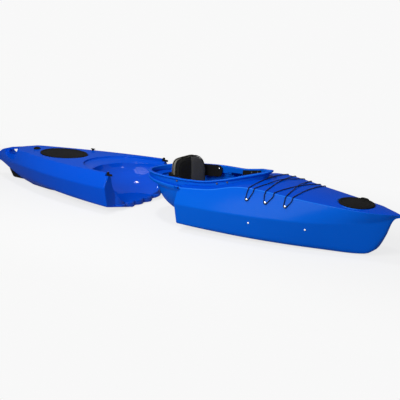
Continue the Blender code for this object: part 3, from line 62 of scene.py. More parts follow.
# Every length is in metres, +X to the bow, +Y to port, +Z up; u is the distance from a section's joint face
hull = {"bowLength": 1.372, "sternLength": 1.377, "gap": 0.571, "halfBeam": 0.354, "wall": 0.006,
        "gunwale": 0.3075, "tipHalf": 0.005, "chine": 0.175, "corner": 0.042, "keelFlat": 0.100,
        "sheerJoint": 0.270, "sheerPeak": 0.329, "sheerBow": 0.268, "sheerStern": 0.255, "sheerTail": 0.178,
        "crown": 0.075, "bowEdge": 0.007, "sternEdge": 0.022, "bowEndRound": 0.004, "sternEndRound": 0.024,
        "sternLipRound": 0.005, "sternFrame": 0.038, "sternHollowEnd": 1.040, "bowHollowEnd": 0.90,
        "softChine": 0.008, "bowedSide": 0.12, "bowFine": 0.16, "sternFine": 0.10,
        "stationStep": 0.014}
jointX = (hull["bowLength"] + hull["gap"] + hull["sternLength"]) / 2 - hull["bowLength"]
sternX = jointX - hull["gap"]
seatGap = 0.0003  # between a fitting and what it sits on
farAbove, farBelow = 0.6, -0.05  # past the hull, for forms that cut right through it


# Numbers and curves

def between(low, high, share):  # a straight line from low at share 0 to high at 1
    return low + (high - low) * share


def eased(share):  # 0 to 1, level at both ends
    share = np.clip(share, 0.0, 1.0)
    return share * share * (3 - 2 * share)


def along(knots, t):  # monotone cubic through (t, value) knots
    ts, vs = np.array(knots, float).T
    step = np.diff(ts)
    grade = np.diff(vs) / step
    slope = np.zeros_like(vs)
    product = grade[:-1] * grade[1:]
    total = np.where(product > 0, grade[:-1] + grade[1:], 1.0)
    slope[1:-1] = np.where(product > 0, 2 * product / total, 0.0)
    slope[0], slope[-1] = grade[0], grade[-1]
    t = np.clip(t, ts[0], ts[-1])
    i = np.clip(np.searchsorted(ts, t, side="right") - 1, 0, len(step) - 1)
    f = (t - ts[i]) / step[i]
    return ((1 - eased(f)) * vs[i] + eased(f) * vs[i + 1]
            + step[i] * (f * (1 - f) ** 2 * slope[i] - f * f * (1 - f) * slope[i + 1]))


def angles(count):  # a ring's angles, none of them on the middle plane
    return (np.arange(count) + 0.5) * 2 * math.pi / count


def parabola(first, at, last, f):  # from the first point to the last, drawn toward the one between
    return (1 - f) ** 2 * first + 2 * f * (1 - f) * at + f * f * last


def corner(before, at, after, sizeBefore, sizeAfter, count):
    # A corner rounded by a parabola between a point on each of its sides; every argument holds one value a row
    def toward(other, size):
        way = other - at
        length = np.maximum(np.linalg.norm(way, axis=1, keepdims=True), 1e-9)
        return at + way * np.minimum(size[:, None], 0.42 * length) / length
    f = np.linspace(0, 1, count)[None, :, None]
    return parabola(toward(before, sizeBefore)[:, None], at[:, None], toward(after, sizeAfter)[:, None], f)


def roundedProfile(points, radius, steps=4):  # every corner of an open profile is eased by a parabola
    points = np.array(points, float)
    f = np.linspace(0, 1, steps)[:, None]

    def toward(at, other):  # the radius along a side, at most 0.45 of it
        length = np.linalg.norm(other - at)
        return at + (other - at) * min(radius, 0.45 * length) / length
    runs = [parabola(toward(at, before), at, toward(at, after), f)
            for before, at, after in zip(points, points[1:], points[2:])]
    return np.concatenate([points[:1]] + runs + [points[-1:]])


def rows3(x, y, z):  # rows of points from arrays, or from single numbers where all share one
    return np.stack(np.broadcast_arrays(x, y, z), -1)


def unit(vectors):  # each row at length 1
    return vectors / np.linalg.norm(vectors, axis=-1, keepdims=True)


def moved(points, place):  # each point turned by the place, then shifted by it
    return points @ np.array(place.to_3x3()).T + np.array(place.translation)


def ovalRings(profile, a, b, count, place):  # (offset, height) pairs carried round an oval at a place
    off, z = np.array(profile, float)[:, :, None].transpose(1, 0, 2)
    t = angles(count)
    return moved(rows3((a + off) * np.cos(t), (b + off) * np.sin(t), z), place)


# Meshes

def linked(name, data):  # a new object of the data, in the collection in use
    made = bpy.data.objects.new(name, data)
    bpy.context.collection.objects.link(made)
    return made


def reworked(data, change):  # the change runs on the mesh as a bmesh
    work = bmesh.new()
    work.from_mesh(data)
    change(work)
    work.to_mesh(data)
    work.free()


def meshObject(name, points, faces, paint=None):  # a form whose faces are turned outward
    data = bpy.data.meshes.new(name)
    data.from_pydata(np.asarray(points, float).reshape(-1, 3).tolist(), [], [tuple(f) for f in faces])
    reworked(data, lambda work: bmesh.ops.recalc_face_normals(work, faces=work.faces))
    if paint:
        data.materials.append(paint)
    return linked(name, data)


def lofted(name, rings, paint=None, closed=False):
    # Rings of points joined row to row; the ends are capped, or the last row meets the first
    rings = np.asarray(rings, float)
    rows, count = rings.shape[:2]
    last = rows if closed else rows - 1
    i, j = np.meshgrid(np.arange(last), np.arange(count), indexing="ij")
    after, beside = (i + 1) % rows, (j + 1) % count
    quads = np.stack([i * count + j, i * count + beside, after * count + beside, after * count + j], -1)
    faces = quads.reshape(-1, 4).tolist()
    if not closed:
        faces += [list(range(count))[::-1], list(range((rows - 1) * count, rows * count))]
    return meshObject(name, rings, faces, paint)


def prism(name, outline, low, high, axis=2, paint=None):  # a flat outline drawn out along Z, or along Y as axis 1
    outline = np.asarray(outline, float)
    return lofted(name, [np.insert(outline, axis, level, axis=1) for level in (low, high)], paint)


def tube(name, path, radius, sides, paint):
    # Closed tube: rings square to the path, each turned from the last by the least twist; UV runs round and along
    ahead = unit(np.roll(path, -1, 0) - np.roll(path, 1, 0))
    across = np.zeros_like(path)
    side = np.cross(ahead[0], (0.0, 0.0, 1.0))
    for i, way in enumerate(ahead):
        side = side - way * (side @ way)
        side /= np.linalg.norm(side)
        across[i] = side
    third = np.cross(ahead, across)
    a = np.arange(sides)[None, :, None] * 2 * math.pi / sides
    rings = path[:, None] + radius * (across[:, None] * np.cos(a) + third[:, None] * np.sin(a))
    made = lofted(name, rings, paint, True)
    run = np.concatenate([[0], np.cumsum(np.linalg.norm(np.diff(path, axis=0), axis=1))])
    uv = made.data.uv_layers.new(name="along")
    for poly in made.data.polygons:
        spots = [divmod(v, sides) for v in poly.vertices]
        wrapRow = {0, len(path) - 1} <= {s[0] for s in spots}
        wrapSide = {0, sides - 1} <= {s[1] for s in spots}
        for loop, (row, k) in zip(poly.loop_indices, spots):
            lengthAt = run[-1] if wrapRow and row == 0 else run[row]
            turnAt = sides if wrapSide and k == 0 else k
            uv.data[loop].uv = (turnAt / sides, lengthAt)
    return smooth(made, 60.0)


cut, add = "DIFFERENCE", "UNION"


def shaped(target, steps):  # the forms are added to the target or cut from it, in turn
    for operation, helper in steps:
        step = target.modifiers.new(helper.name, "BOOLEAN")
        step.operation = operation
        step.solver = "MANIFOLD"
        step.object = helper
    applied(target)
    for _, helper in steps:
        bpy.data.objects.remove(helper, do_unlink=True)
    return target


def applied(target):  # the modifiers' result becomes the mesh
    result = bpy.data.meshes.new_from_object(target.evaluated_get(bpy.context.evaluated_depsgraph_get()))
    target.modifiers.clear()
    old = target.data
    result.name = old.name
    target.data = result
    bpy.data.meshes.remove(old)
    return target


def smooth(made, sharpAngle=32.0):  # shaded by weighted normals; edges past the angle stay sharp
    made.data.shade_smooth()
    made.data.set_sharp_from_angle(angle=math.radians(sharpAngle))
    weight = made.modifiers.new("evenNormals", "WEIGHTED_NORMAL")
    weight.keep_sharp = True
    return made


def softened(made, width):  # edges rounded by a real bevel
    step = made.modifiers.new("softEdges", "BEVEL")
    step.width = width
    step.segments = 2
    step.limit_method = "ANGLE"
    step.angle_limit = math.radians(32.0)
    step.harden_normals = False
    return smooth(applied(made), 40.0)


def placed(made, body, replacedNode=None):  # set on its body; where a node is given, that node is hidden
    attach(made, body)
    if replacedNode:
        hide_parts(replacedNode)
    return made


def dressed(name, node, body, width):
    # A black plastic copy of a node's solid, with its corners merged and its edges rounded
    data = nodes[node].data.copy()
    data.name = name

    def merge(work):  # doubles within 0.01 mm are merged, then faces within a degree of flat
        bmesh.ops.remove_doubles(work, verts=work.verts, dist=1e-5)
        bmesh.ops.dissolve_limit(work, angle_limit=math.radians(1.0), verts=work.verts, edges=work.edges)
    reworked(data, merge)
    data.materials.clear()
    data.materials.append(blackPlastic)
    return placed(softened(linked(name, data), width), body, node)


# Shader nodes and groups

def feed(tree, made, inputs):  # a node's inputs take values, or links where the value is a socket
    for key, value in inputs.items():
        target = made.inputs[key]
        if isinstance(value, bpy.types.NodeSocket):
            tree.links.new(value, target)
        else:
            target.default_value = (*value, 1.0) if target.type == "RGBA" else value


def node(tree, kind, inputs=None, **settings):  # a shader node with its settings and inputs
    made = tree.nodes.new(kind)
    for key, value in settings.items():
        setattr(made, key, value)
    feed(tree, made, inputs or {})
    return made


def objectAt(tree):  # Object coordinates
    return node(tree, "ShaderNodeTexCoord").outputs["Object"]


def noise(tree, at, scale, detail=2.0, roughness=0.5):  # about 0 to 1, finer with a larger scale
    return node(tree, "ShaderNodeTexNoise", {"Vector": at, "Scale": scale, "Detail": detail,
                                             "Roughness": roughness}).outputs["Fac"]


def stretched(tree, at, scale, turn=(0.0, 0.0, 0.0)):  # scaled along each axis, then turned
    return node(tree, "ShaderNodeMapping", {"Vector": at, "Scale": scale, "Rotation": turn}).outputs[0]


def split(tree, vector):  # X, Y and Z, each on its own
    return node(tree, "ShaderNodeSeparateXYZ", {0: vector}).outputs


def maths(tree, operation, *values):  # the operation on its one or two values
    return node(tree, "ShaderNodeMath", dict(enumerate(values)), operation=operation).outputs[0]


def remap(tree, value, low, high, outLow, outHigh):  # low to high onto outLow to outHigh, level at the ends
    return node(tree, "ShaderNodeMapRange", {"Value": value, "From Min": low, "From Max": high, "To Min": outLow,
                                             "To Max": outHigh}, interpolation_type="SMOOTHSTEP").outputs["Result"]


def mixed(tree, factor, first, second):  # the first colour at factor 0, the second at 1
    made = node(tree, "ShaderNodeMix", {"Factor": factor, "A": first, "B": second}, data_type="RGBA")
    return made.outputs["Result"]


def bumped(tree, height, strength, distance):  # the normal, tilted by the height's slope
    return node(tree, "ShaderNodeBump", {"Strength": strength, "Distance": distance, "Height": height}).outputs[0]


def group(name, **inputs):  # a new shader group and its input sockets
    tree = bpy.data.node_groups.new(name, "ShaderNodeTree")
    for label, value in inputs.items():
        kind = "NodeSocketFloat" if isinstance(value, float) else "NodeSocketVector"
        tree.interface.new_socket(label, in_out="INPUT", socket_type=kind).default_value = value
    return tree, tree.nodes.new("NodeGroupInput").outputs


def finished(tree, **outputs):  # the group's output sockets, each fed its value
    for label in outputs:
        tree.interface.new_socket(label, in_out="OUTPUT", socket_type="NodeSocketFloat")
    node(tree, "NodeGroupOutput", outputs)
    return tree


def mouldedGroup():
    # The faint orange peel and slow waviness of moulded plastic, the scuffs of handling, and patches of tone
    tree, given = group("mouldedSurface", Vector=(0, 0, 0), Peel=420.0, Roughness=0.3, Scuff=0.1)
    at = given["Vector"]
    peel = noise(tree, at, given["Peel"], 1.5)
    wave = noise(tree, at, 9.0, 1.0)
    height = maths(tree, "ADD", maths(tree, "MULTIPLY", peel, 0.10), maths(tree, "MULTIPLY", wave, 2.2))
    patches = noise(tree, at, 3.2, 4.0, 0.6)
    streaks = stretched(tree, at, (14.0, 190.0, 190.0), (0.0, 0.12, 0.07))
    scuffs = remap(tree, noise(tree, streaks, 1.0, 3.0), 0.60, 0.74, 0.0, 1.0)
    rough = maths(tree, "ADD", given["Roughness"], maths(tree, "MULTIPLY", scuffs, given["Scuff"]))
    rough = maths(tree, "ADD", rough, maths(tree, "MULTIPLY", maths(tree, "SUBTRACT", patches, 0.5), 0.10))
    return finished(tree, Height=height, Roughness=rough, Patches=patches)


def weaveGroup():
    # Plain weave: two sets of threads, one over the other in turn
    tree, given = group("wovenCloth", Vector=(0, 0, 0), Threads=900.0)
    across = split(tree, given["Vector"])
    warp, weft = (maths(tree, "SINE", maths(tree, "MULTIPLY", across[i], given["Threads"])) for i in (1, 2))
    crossing = maths(tree, "MULTIPLY", warp, weft)
    fuzz = noise(tree, given["Vector"], 300.0, 3.0)
    height = maths(tree, "ADD", crossing, maths(tree, "MULTIPLY", fuzz, 0.8))
    return finished(tree, Height=height, Mask=remap(tree, crossing, -1.0, 1.0, 0.0, 1.0))


def brushedGroup():
    # Fine grain drawn out along X, which moves the metal's roughness a little to both sides
    tree, given = group("brushedMetal", Vector=(0, 0, 0), Roughness=0.3)
    grain = noise(tree, stretched(tree, given["Vector"], (0.08, 1.0, 1.0)), 400.0, 3.0)
    low, high = (maths(tree, "ADD", given["Roughness"], step) for step in (-0.08, 0.12))
    return finished(tree, Roughness=remap(tree, grain, 0.3, 0.7, low, high))


moulded, woven, brushed = mouldedGroup(), weaveGroup(), brushedGroup()


# Materials

def material(name, colour, roughness, **sockets):  # Coat_Weight sets the shader's Coat Weight, and so on
    made = bpy.data.materials.new(name)
    made.use_nodes = True
    made.diffuse_color = (*colour, 1.0)
    tree, shader = made.node_tree, made.node_tree.nodes["Principled BSDF"]
    feed(tree, shader, {"Base Color": colour, "Roughness": roughness})
    feed(tree, shader, {key.replace("_", " "): value for key, value in sockets.items()})
    return made, tree, shader


def plasticMaterial(name, colour, tone, roughness, peel, scuff, gloss, blur, bump):
    # Two close tones in slow patches under the moulded surface; the gloss is a thin coat
    made, tree, shader = material(name, colour, roughness, Specular_IOR_Level=0.0, Coat_Weight=gloss,
                                  Coat_Roughness=blur)
    surface = node(tree, "ShaderNodeGroup", {"Vector": objectAt(tree), "Peel": peel, "Roughness": roughness,
                                             "Scuff": scuff}, node_tree=moulded).outputs
    feed(tree, shader, {"Base Color": mixed(tree, surface["Patches"], colour, tone),
                        "Roughness": surface["Roughness"],
                        "Normal": bumped(tree, surface["Height"], bump, 0.0006)})
    return made


def clothMaterial(name, colour, tone, threads):  # the two tones and the bump follow the weave
    made, tree, shader = material(name, colour, 0.85, Specular_IOR_Level=0.0, Sheen_Weight=0.04,
                                  Sheen_Roughness=0.5)
    weave = node(tree, "ShaderNodeGroup", {"Vector": objectAt(tree), "Threads": threads}, node_tree=woven).outputs
    feed(tree, shader, {"Base Color": mixed(tree, weave["Mask"], colour, tone),
                        "Normal": bumped(tree, weave["Height"], 0.5, 0.0004)})
    return made


def metalMaterial(name, colour, roughness):  # the brushed grain moves its roughness
    made, tree, shader = material(name, colour, roughness, Metallic=1.0)
    grain = node(tree, "ShaderNodeGroup", {"Vector": objectAt(tree), "Roughness": roughness}, node_tree=brushed)
    feed(tree, shader, {"Roughness": grain.outputs["Roughness"]})
    return made


def cordMaterial(name, colour, fleck, strands, pitch):
    # Braided sleeve on the tube's own UV: two sets of strands cross over it
    made, tree, shader = material(name, colour, 0.75, Specular_IOR_Level=0.1)
    around, run = split(tree, node(tree, "ShaderNodeUVMap", uv_map="along").outputs[0])[:2]
    turn = maths(tree, "MULTIPLY", around, strands * 2 * math.pi)
    run = maths(tree, "MULTIPLY", run, 2 * math.pi / pitch)
    over, under = (maths(tree, "SINE", maths(tree, way, turn, run)) for way in ("ADD", "SUBTRACT"))
    braid = maths(tree, "MAXIMUM", over, under)
    feed(tree, shader, {"Base Color": mixed(tree, remap(tree, braid, 0.2, 1.0, 0.0, 1.0), colour, fleck),
                        "Normal": bumped(tree, braid, 0.6, 0.0005)})
    return made


def paintedShadeAndHighlight(made, paintedShadeUpTone, share, edge):
    # Painted shade: surfaces that face up shift to a deeper tone. Painted highlight: rounded edges, which face
    # half way up, get a lighter band
    tree = made.node_tree
    shader = tree.nodes["Principled BSDF"]
    plain = shader.inputs["Base Color"].links[0].from_socket
    up = split(tree, node(tree, "ShaderNodeNewGeometry").outputs["Normal"])["Z"]
    tone = mixed(tree, remap(tree, up, 0.40, 0.95, 0.0, share), plain, paintedShadeUpTone)
    paintedHighlightBand = maths(tree, "MULTIPLY", remap(tree, up, 0.56, 0.66, 0.0, 0.55), remap(tree, up, 0.80, 0.93, 1.0, 0.0))
    feed(tree, shader, {"Base Color": mixed(tree, paintedHighlightBand, tone, edge)})


def polished(made, centre, reach, gloss):  # the coat is heavier round a place that rubbing keeps bright
    tree = made.node_tree
    shader = tree.nodes["Principled BSDF"]
    plain = shader.inputs["Coat Weight"].default_value
    away = node(tree, "ShaderNodeVectorMath", {0: objectAt(tree), 1: centre}, operation="DISTANCE")
    weight = remap(tree, away.outputs["Value"], reach * 0.6, reach, gloss, plain)
    feed(tree, shader, {"Coat Weight": weight})


# Colour, second tone, roughness, orange peel, scuffs, weight of the coat, roughness of the coat, bump. The two
# blues are one plastic as a lit and a shaded copy: the bow's lighter blue, the stern's deeper blue
plastics = {
    "royalBluePolyethylene": ((0.0010, 0.096, 0.59), (0.0016, 0.112, 0.63), 0.27, 420.0, 0.07, 0.06, 0.20, 0.35),
    "deepBluePolyethylene": ((0.0008, 0.070, 0.59), (0.0012, 0.082, 0.62), 0.27, 420.0, 0.07, 0.06, 0.07, 0.35),
    "blackMouldedPlastic": ((0.010, 0.010, 0.011), (0.016, 0.015, 0.014), 0.42, 700.0, 0.10, 0.05, 0.189, 0.35),
    "hatchRubber": ((0.010, 0.010, 0.010), (0.016, 0.015, 0.014), 0.40, 520.0, 0.14, 0.03, 0.18, 0.50)}
# Colour, second tone, threads. The charcoal and black cloths also paint the backrest face's halves: charcoal as
# the lit half, black as the shaded half
cloths = {"charcoalCloth": ((0.095, 0.094, 0.092), (0.140, 0.138, 0.135), 2400.0),
          "blackCloth": ((0.016, 0.016, 0.016), (0.030, 0.030, 0.030), 2400.0),
          "spacerMesh": ((0.100, 0.094, 0.078), (0.20, 0.19, 0.16), 1700.0),
          "webbing": ((0.15, 0.135, 0.11), (0.24, 0.22, 0.18), 2000.0),
          "pipingCloth": ((0.010, 0.010, 0.011), (0.030, 0.030, 0.030), 3200.0)}
# Colour, roughness
metals = {"stainlessSteel": ((0.78, 0.78, 0.76), 0.22), "dulledSteel": ((0.10, 0.11, 0.13), 0.45),
          "blackenedSteel": ((0.025, 0.026, 0.028), 0.45), "satinAlloy": ((0.45, 0.46, 0.48), 0.36)}
# Painted shade for up-facing surfaces and a painted highlight colour for rounded edges, then the place, reach and
# coat weight of the bowl's heavier coat
paintedLightAndWear = {"paintedShadeUpTone": (0.0010, 0.066, 0.61), "paintedShadeUpShare": 0.85, "paintedEdgeHighlight": (0.030, 0.260, 0.86),
        "bowl": (sternX - 0.16, 0.0, 0.05), "bowlReach": 0.36, "bowlGloss": 0.22}


def allOf(make, table):  # one material for each row of a table
    return [make(name, *facts) for name, facts in table.items()]


hullBlue, sternBlue, blackPlastic, hatchRubber = allOf(plasticMaterial, plastics)
seatAndLitBackrestCloth, seatAndShadedBackrestCloth, meshCloth, strapCloth, edgeCloth = allOf(clothMaterial, cloths)
steel, dullSteel, darkSteel, alloy = allOf(metalMaterial, metals)
bungeeSleeve = cordMaterial("braidedSleeve", (0.006, 0.010, 0.020), (0.016, 0.022, 0.040), 8, 0.0022)
# painted shade on the bow's up-facing surfaces and a painted highlight along its rounded edges
paintedShadeAndHighlight(hullBlue, paintedLightAndWear["paintedShadeUpTone"], paintedLightAndWear["paintedShadeUpShare"], paintedLightAndWear["paintedEdgeHighlight"])
polished(sternBlue, paintedLightAndWear["bowl"], paintedLightAndWear["bowlReach"], paintedLightAndWear["bowlGloss"])
print("materials ready")


# Hull surface: the corners of a half section by distance from the joint face

stem = ((0.320, 0.000), (0.198, 0.010), (0.154, 0.036), (0.097, 0.127), (0.054, 0.226), (0.034, 0.245),
        (0.000, 0.256))  # behind the bow tip, and height
sternRise = ((0.430, 0.000), (0.270, 0.027), (0.170, 0.058), (0.080, 0.094), (0.000, 0.118))
halfPoints = {"gunwale": 17, "chine": 25, "foot": 36}  # where a half section's points reach these


def sectionLines(t, keel, gunwale, sheer, chine, low, mid, crown, edge):
    # The lines that both sections have, and those that follow from others: the foot from the chine, the deck's
    # middle from the gunwale
    return {"keel": keel, "foot": np.maximum(chine * (0.923 - 0.08 * t - 0.42 * t ** 3), hull["tipHalf"] * 0.9),
            "low": low, "chine": chine, "mid": np.maximum(mid, low + 0.004), "gunwale": gunwale, "sheer": sheer,
            "deck": sheer + crown * gunwale, "edge": edge,
            "keelEdge": between(0.012, 0.030, np.minimum(t / 0.2, 1.0))}


def bowLines(u):  # breadths as tabled shares of the beam, heights between the joint's, the peak's and the tip's
    t = np.maximum(np.asarray(u, float), 0.0) / hull["bowLength"]
    joint, peak, tip = hull["sheerJoint"], hull["sheerPeak"], hull["sheerBow"]
    keel = along([(1 - s / hull["bowLength"], z) for s, z in stem], t)
    gunwale = hull["gunwale"] * along(
        [(0, 1.0), (0.146, 0.927), (0.292, 0.787), (0.364, 0.745), (0.583, 0.608), (0.73, 0.495),
         (0.802, 0.43), (0.875, 0.348), (0.911, 0.257), (0.955, 0.146), (1.0, 0.016)], t)
    sheer = along([(0, joint), (0.146, between(joint, peak, 0.27)), (0.292, between(joint, peak, 0.95)),
                   (0.34, peak), (0.583, between(tip, peak, 0.59)), (0.802, between(tip, peak, 0.23)),
                   (1.0, tip)], t)
    chine = np.maximum(hull["halfBeam"] * (1 - (t / 0.977) ** 2.2), hull["tipHalf"])
    low = np.maximum(between(hull["corner"], 0.008, np.minimum(t / 0.8, 1.0)), keel + 0.004)
    mid = hull["chine"] + along([(0, 0.0), (0.5, 0.003), (0.65, 0.008), (0.8, 0.022), (0.9, 0.037),
                                 (0.96, 0.066), (1.0, 0.087)], t)
    return sectionLines(t, keel, gunwale, sheer, chine, low, mid, hull["crown"], hull["bowEdge"])


def sternLines(u):  # breadths fall by powers of the distance, heights as tabled
    t = np.maximum(np.asarray(u, float), 0.0) / hull["sternLength"]
    joint, rear, tail = hull["sheerJoint"], hull["sheerStern"], hull["sheerTail"]
    keel = along([(1 - s / hull["sternLength"], z) for s, z in sternRise], t)
    gunwale = np.maximum(hull["gunwale"] * (1 - t ** 1.75), hull["tipHalf"])
    sheer = along([(0, joint), (0.24, between(rear, joint, 0.55)), (0.6, rear), (0.79, rear - 0.004),
                   (0.893, between(tail, rear, 0.70)), (0.951, between(tail, rear, 0.43)), (1.0, tail)], t)
    chine = np.maximum(hull["halfBeam"] * (1 - t ** 2), hull["tipHalf"])
    low = hull["corner"] + along([(0, 0.0), (0.24, 0.006), (0.53, 0.014), (0.748, 0.021), (0.893, 0.040),
                                  (1.0, 0.080)], t)
    mid = hull["chine"] + along([(0, 0.0), (0.3, -0.002), (0.55, -0.007), (0.75, -0.018), (0.87, -0.030),
                                 (1.0, -0.043)], t)
    return sectionLines(t, keel, gunwale, sheer, chine, low, mid, 0.0, hull["sternEdge"])


def halfSections(lines, inset, lift=None):
    # Port half of each section: crowned deck, rounded gunwale, bowed topside, soft chine, rounded bottom corner.
    # The bottom rises by the lift, or by the inset where none is given
    rows = len(lines["keel"])
    inset = inset + np.zeros(rows)
    lift = inset if lift is None else lift
    least = hull["tipHalf"] * 0.4
    gun = np.stack([np.maximum(lines["gunwale"] - inset * 1.15, least), lines["sheer"] - inset], 1)
    chine = np.stack([np.maximum(lines["chine"] - inset, least), lines["mid"]], 1)
    foot = np.stack([np.maximum(lines["foot"] - inset, least * 0.9), lines["low"] + lift], 1)
    flat = np.stack([np.minimum(hull["keelFlat"], foot[:, 0] * 0.5), lines["keel"] + lift], 1)
    rise = (lines["deck"] - inset - gun[:, 1])[:, None]
    edge = lines["edge"] + np.zeros(rows)
    start = np.minimum(edge, 0.042 * gun[:, 0])
    share = np.linspace(0, 1, 12) * (1 - start / gun[:, 0])[:, None]
    deck = np.stack([share * gun[:, :1], gun[:, 1:] + rise * (1 - share ** 2)], -1)
    near = deck[:, -1]
    gunCorner = corner(near + (near - gun), gun, chine, start, edge, 7)[:, 1:]
    soft = hull["softChine"] + np.zeros(rows)
    chineCorner = corner(gun, chine, foot, soft, soft, 4)
    footCorner = corner(chine, foot, flat, lines["keelEdge"], lines["keelEdge"], 7)
    s = np.linspace(0, 1, 9)[None, 1:-1]

    def run(first, last, shares):  # points on the straight line between, at each share
        return first[:, None] + (last - first)[:, None] * shares[..., None]
    panel = run(gunCorner[:, -1], chineCorner[:, 0], s)
    panel[..., 0] += hull["bowedSide"] * s * (1 - s) * np.abs(chine[:, 1] - gun[:, 1])[:, None]
    drop = run(chineCorner[:, -1], footCorner[:, 0], s)
    bottom = run(footCorner[:, -1], flat, np.array([[0.5, 1.0]]))
    middle = flat[:, None] * np.array([[0.5, 1.0], [0.0, 1.0]])[None]
    return np.concatenate([deck, gunCorner, panel, chineCorner, drop, footCorner, bottom, middle], 1)


def halfSection(u):  # the bow section's port half at one distance, not inset
    return halfSections(bowLines(np.array([u])), 0.0)[0]


def sectionRings(lines, xs, inset=0.0, lift=None):  # the port half at each X, mirrored but for its ends
    half = halfSections(lines, inset, lift)
    port = np.concatenate([np.repeat(xs[:, None, None], half.shape[1], 1), half], -1)
    starboard = (port * (1, -1, 1))[:, -2:0:-1]
    return np.concatenate([port, starboard], 1)


def endInset(u, radius):  # how far a section shrinks near a rounded end
    left = np.clip(radius - u, 0.0, radius)
    return radius - np.sqrt(np.maximum(radius ** 2 - left ** 2, 0.0))


def stations(start, end, roundStart=0.0, fineEnd=0.0):  # even, closer over a rounded start and toward a fine end
    marks = np.linspace(start, end, max(int((end - start) / hull["stationStep"]), 6))
    if roundStart:
        arc = start + roundStart * (1 - np.cos(np.linspace(0, math.pi / 2, 8)))
        marks = np.concatenate([arc[:-1], marks[marks > arc[-1]]])
    if fineEnd:
        tail = end - fineEnd * np.linspace(1, 0, 24) ** 1.4
        marks = np.concatenate([marks[marks < tail[0]], tail])
    return marks


def bowX(u):  # ahead of the bow section's joint face
    return jointX + u


def sternAt(u):  # behind the stern section's joint face
    return sternX - u


def deckHeight(lines, u, y):  # a parabola across, from the sheer up to the deck's middle
    at = lines(u)
    rise = at["deck"] - at["sheer"]
    return at["sheer"] + rise * (1 - np.minimum(np.abs(y) / at["gunwale"], 1.0) ** 2)


# Bulge under the cockpit, and the bowl that takes it

bulge = {"length": 0.345, "half": 0.272, "top": 0.240, "depth": 0.220, "floor": 0.045, "shelfLength": 0.430,
         "shelfHalf": 0.283, "shelfThick": 0.012, "shelfDrop": 0.003, "shelfEdge": 0.005, "slope": 0.014,
         "floorRound": 0.010, "floorBack": 0.014, "steps": 72, "fit": 0.004, "lipRound": 0.006,
         "mouthBack": 0.022, "mouthFlare": 0.045, "floorLong": 0.030, "floorWide": 0.024}
shelfTop = hull["sheerJoint"] - bulge["shelfDrop"]


def bulgeSize(z):  # half length and half width of the ellipsoid at a height
    width = np.sqrt(np.maximum(1 - ((bulge["top"] - z) / bulge["depth"]) ** 2, 0.0))
    return bulge["length"] * width, bulge["half"] * width


def bulgeProfile(top, grow):
    # Heights with half length and half width: shelf edge, a slope in to the ellipsoid, the rounded floor
    long, wide = bulge["shelfLength"], bulge["shelfHalf"]
    edge, turns = (bulge["shelfEdge"], np.linspace(math.pi / 2, 0, 5)) if grow == 0 else (0.0, (0.0,))
    rows = [(top - edge * (1 - math.sin(a)), long - edge * (1 - math.cos(a)), wide - edge * (1 - math.cos(a)))
            for a in turns]
    for share in np.linspace(0, 1, 8):
        z = between(shelfTop - bulge["shelfThick"] - grow, bulge["top"] - bulge["slope"] - grow, share)
        a, b = bulgeSize(min(z + grow, bulge["top"]))
        mix = float(eased(share))
        rows.append((z, between(long, a, mix), between(wide, b, mix)))
    low = bulge["floor"] + bulge["floorRound"]
    for share in np.linspace(0.02, 1, 16):
        z = between(bulge["top"] - bulge["slope"], low, share)
        rows.append((z - grow, *bulgeSize(z)))
    a, b = bulgeSize(low)
    for turn in np.linspace(0.35, math.pi / 2, 4):
        back = bulge["floorBack"] * (1 - math.cos(turn))
        rows.append((bulge["floor"] + bulge["floorRound"] * (1 - math.sin(turn)) - grow, a - back, b - back))
    return rows


def bulgeRings(rows, grow, front, face, flare=0.0):
    # Half ellipse that opens forward; with a flare, the straight sides curve outward at the joint face
    t = math.pi * (0.5 - np.linspace(0, 1, bulge["steps"] + 1))
    turn = np.linspace(0, math.pi / 2, 6)[1:]
    rings = []
    for z, a, b in rows:
        a, b = a + grow, b + grow
        back = np.stack([face - a * np.cos(t), b * np.sin(t)], 1)
        lead = np.stack([face + flare * np.sin(turn), b + flare * (1 - np.cos(turn))], 1)[::-1]
        port = np.concatenate([[[face + front, b + flare]], lead[:len(lead) if flare else 0]])
        plan = np.concatenate([port, back, (port * (1, -1))[::-1]])
        rings.append(rows3(*plan.T, z))
    return rings


teeth = {"count": 5, "pitch": 0.096, "depth": 0.022, "fit": 0.0015, "steps": 16, "fluteTop": 0.150,
         "lip": 0.028, "lipRound": 0.013, "lipBack": 0.010}
toothRadius = (teeth["pitch"] ** 2 / 4 + teeth["depth"] ** 2) / (2 * teeth["depth"])
teethHalf = teeth["pitch"] * teeth["count"] / 2


def toothLine(grow, back=0.0):  # plan points over the row of teeth, each an arc: (y, how far it stands forward)
    y = -teeth["pitch"] / 2 + teeth["pitch"] * np.arange(teeth["steps"]) / teeth["steps"]
    front = np.sqrt((toothRadius + grow) ** 2 - y * y) - (toothRadius - teeth["depth"]) - back
    centres = (np.arange(teeth["count"]) - (teeth["count"] - 1) / 2) * teeth["pitch"]
    line = np.column_stack([(centres[:, None] + y).ravel(), np.tile(front, teeth["count"])])
    return np.vstack([line, (teethHalf, front[0])])


# Coaming round the cockpit

coaming = {"rear": 0.440, "front": 0.498, "half": 0.258, "rearHeight": 0.290, "sideHeight": 0.313,
           "frontHeight": 0.398, "lip": 0.022, "thick": 0.010, "frontThick": 0.009, "wall": 0.008, "rake": 0.030,
           "edge": 0.006, "steps": 96}


def coamingHalf(s):  # half breadth: an ellipse behind the joint face, a tabled curve to the tip ahead of it
    aft = coaming["half"] * np.sqrt(np.maximum(1 - np.clip(-s / coaming["rear"], 0, 1) ** 2, 0.0))
    ahead = coaming["half"] * along([(0, 1.0), (0.2, 0.957), (0.4, 0.872), (0.6, 0.737), (0.7, 0.585), (0.8, 0.41),
                                     (0.9, 0.27), (0.97, 0.15), (1.0, 0.0)], s / coaming["front"])
    return np.where(s <= 0, aft, ahead)


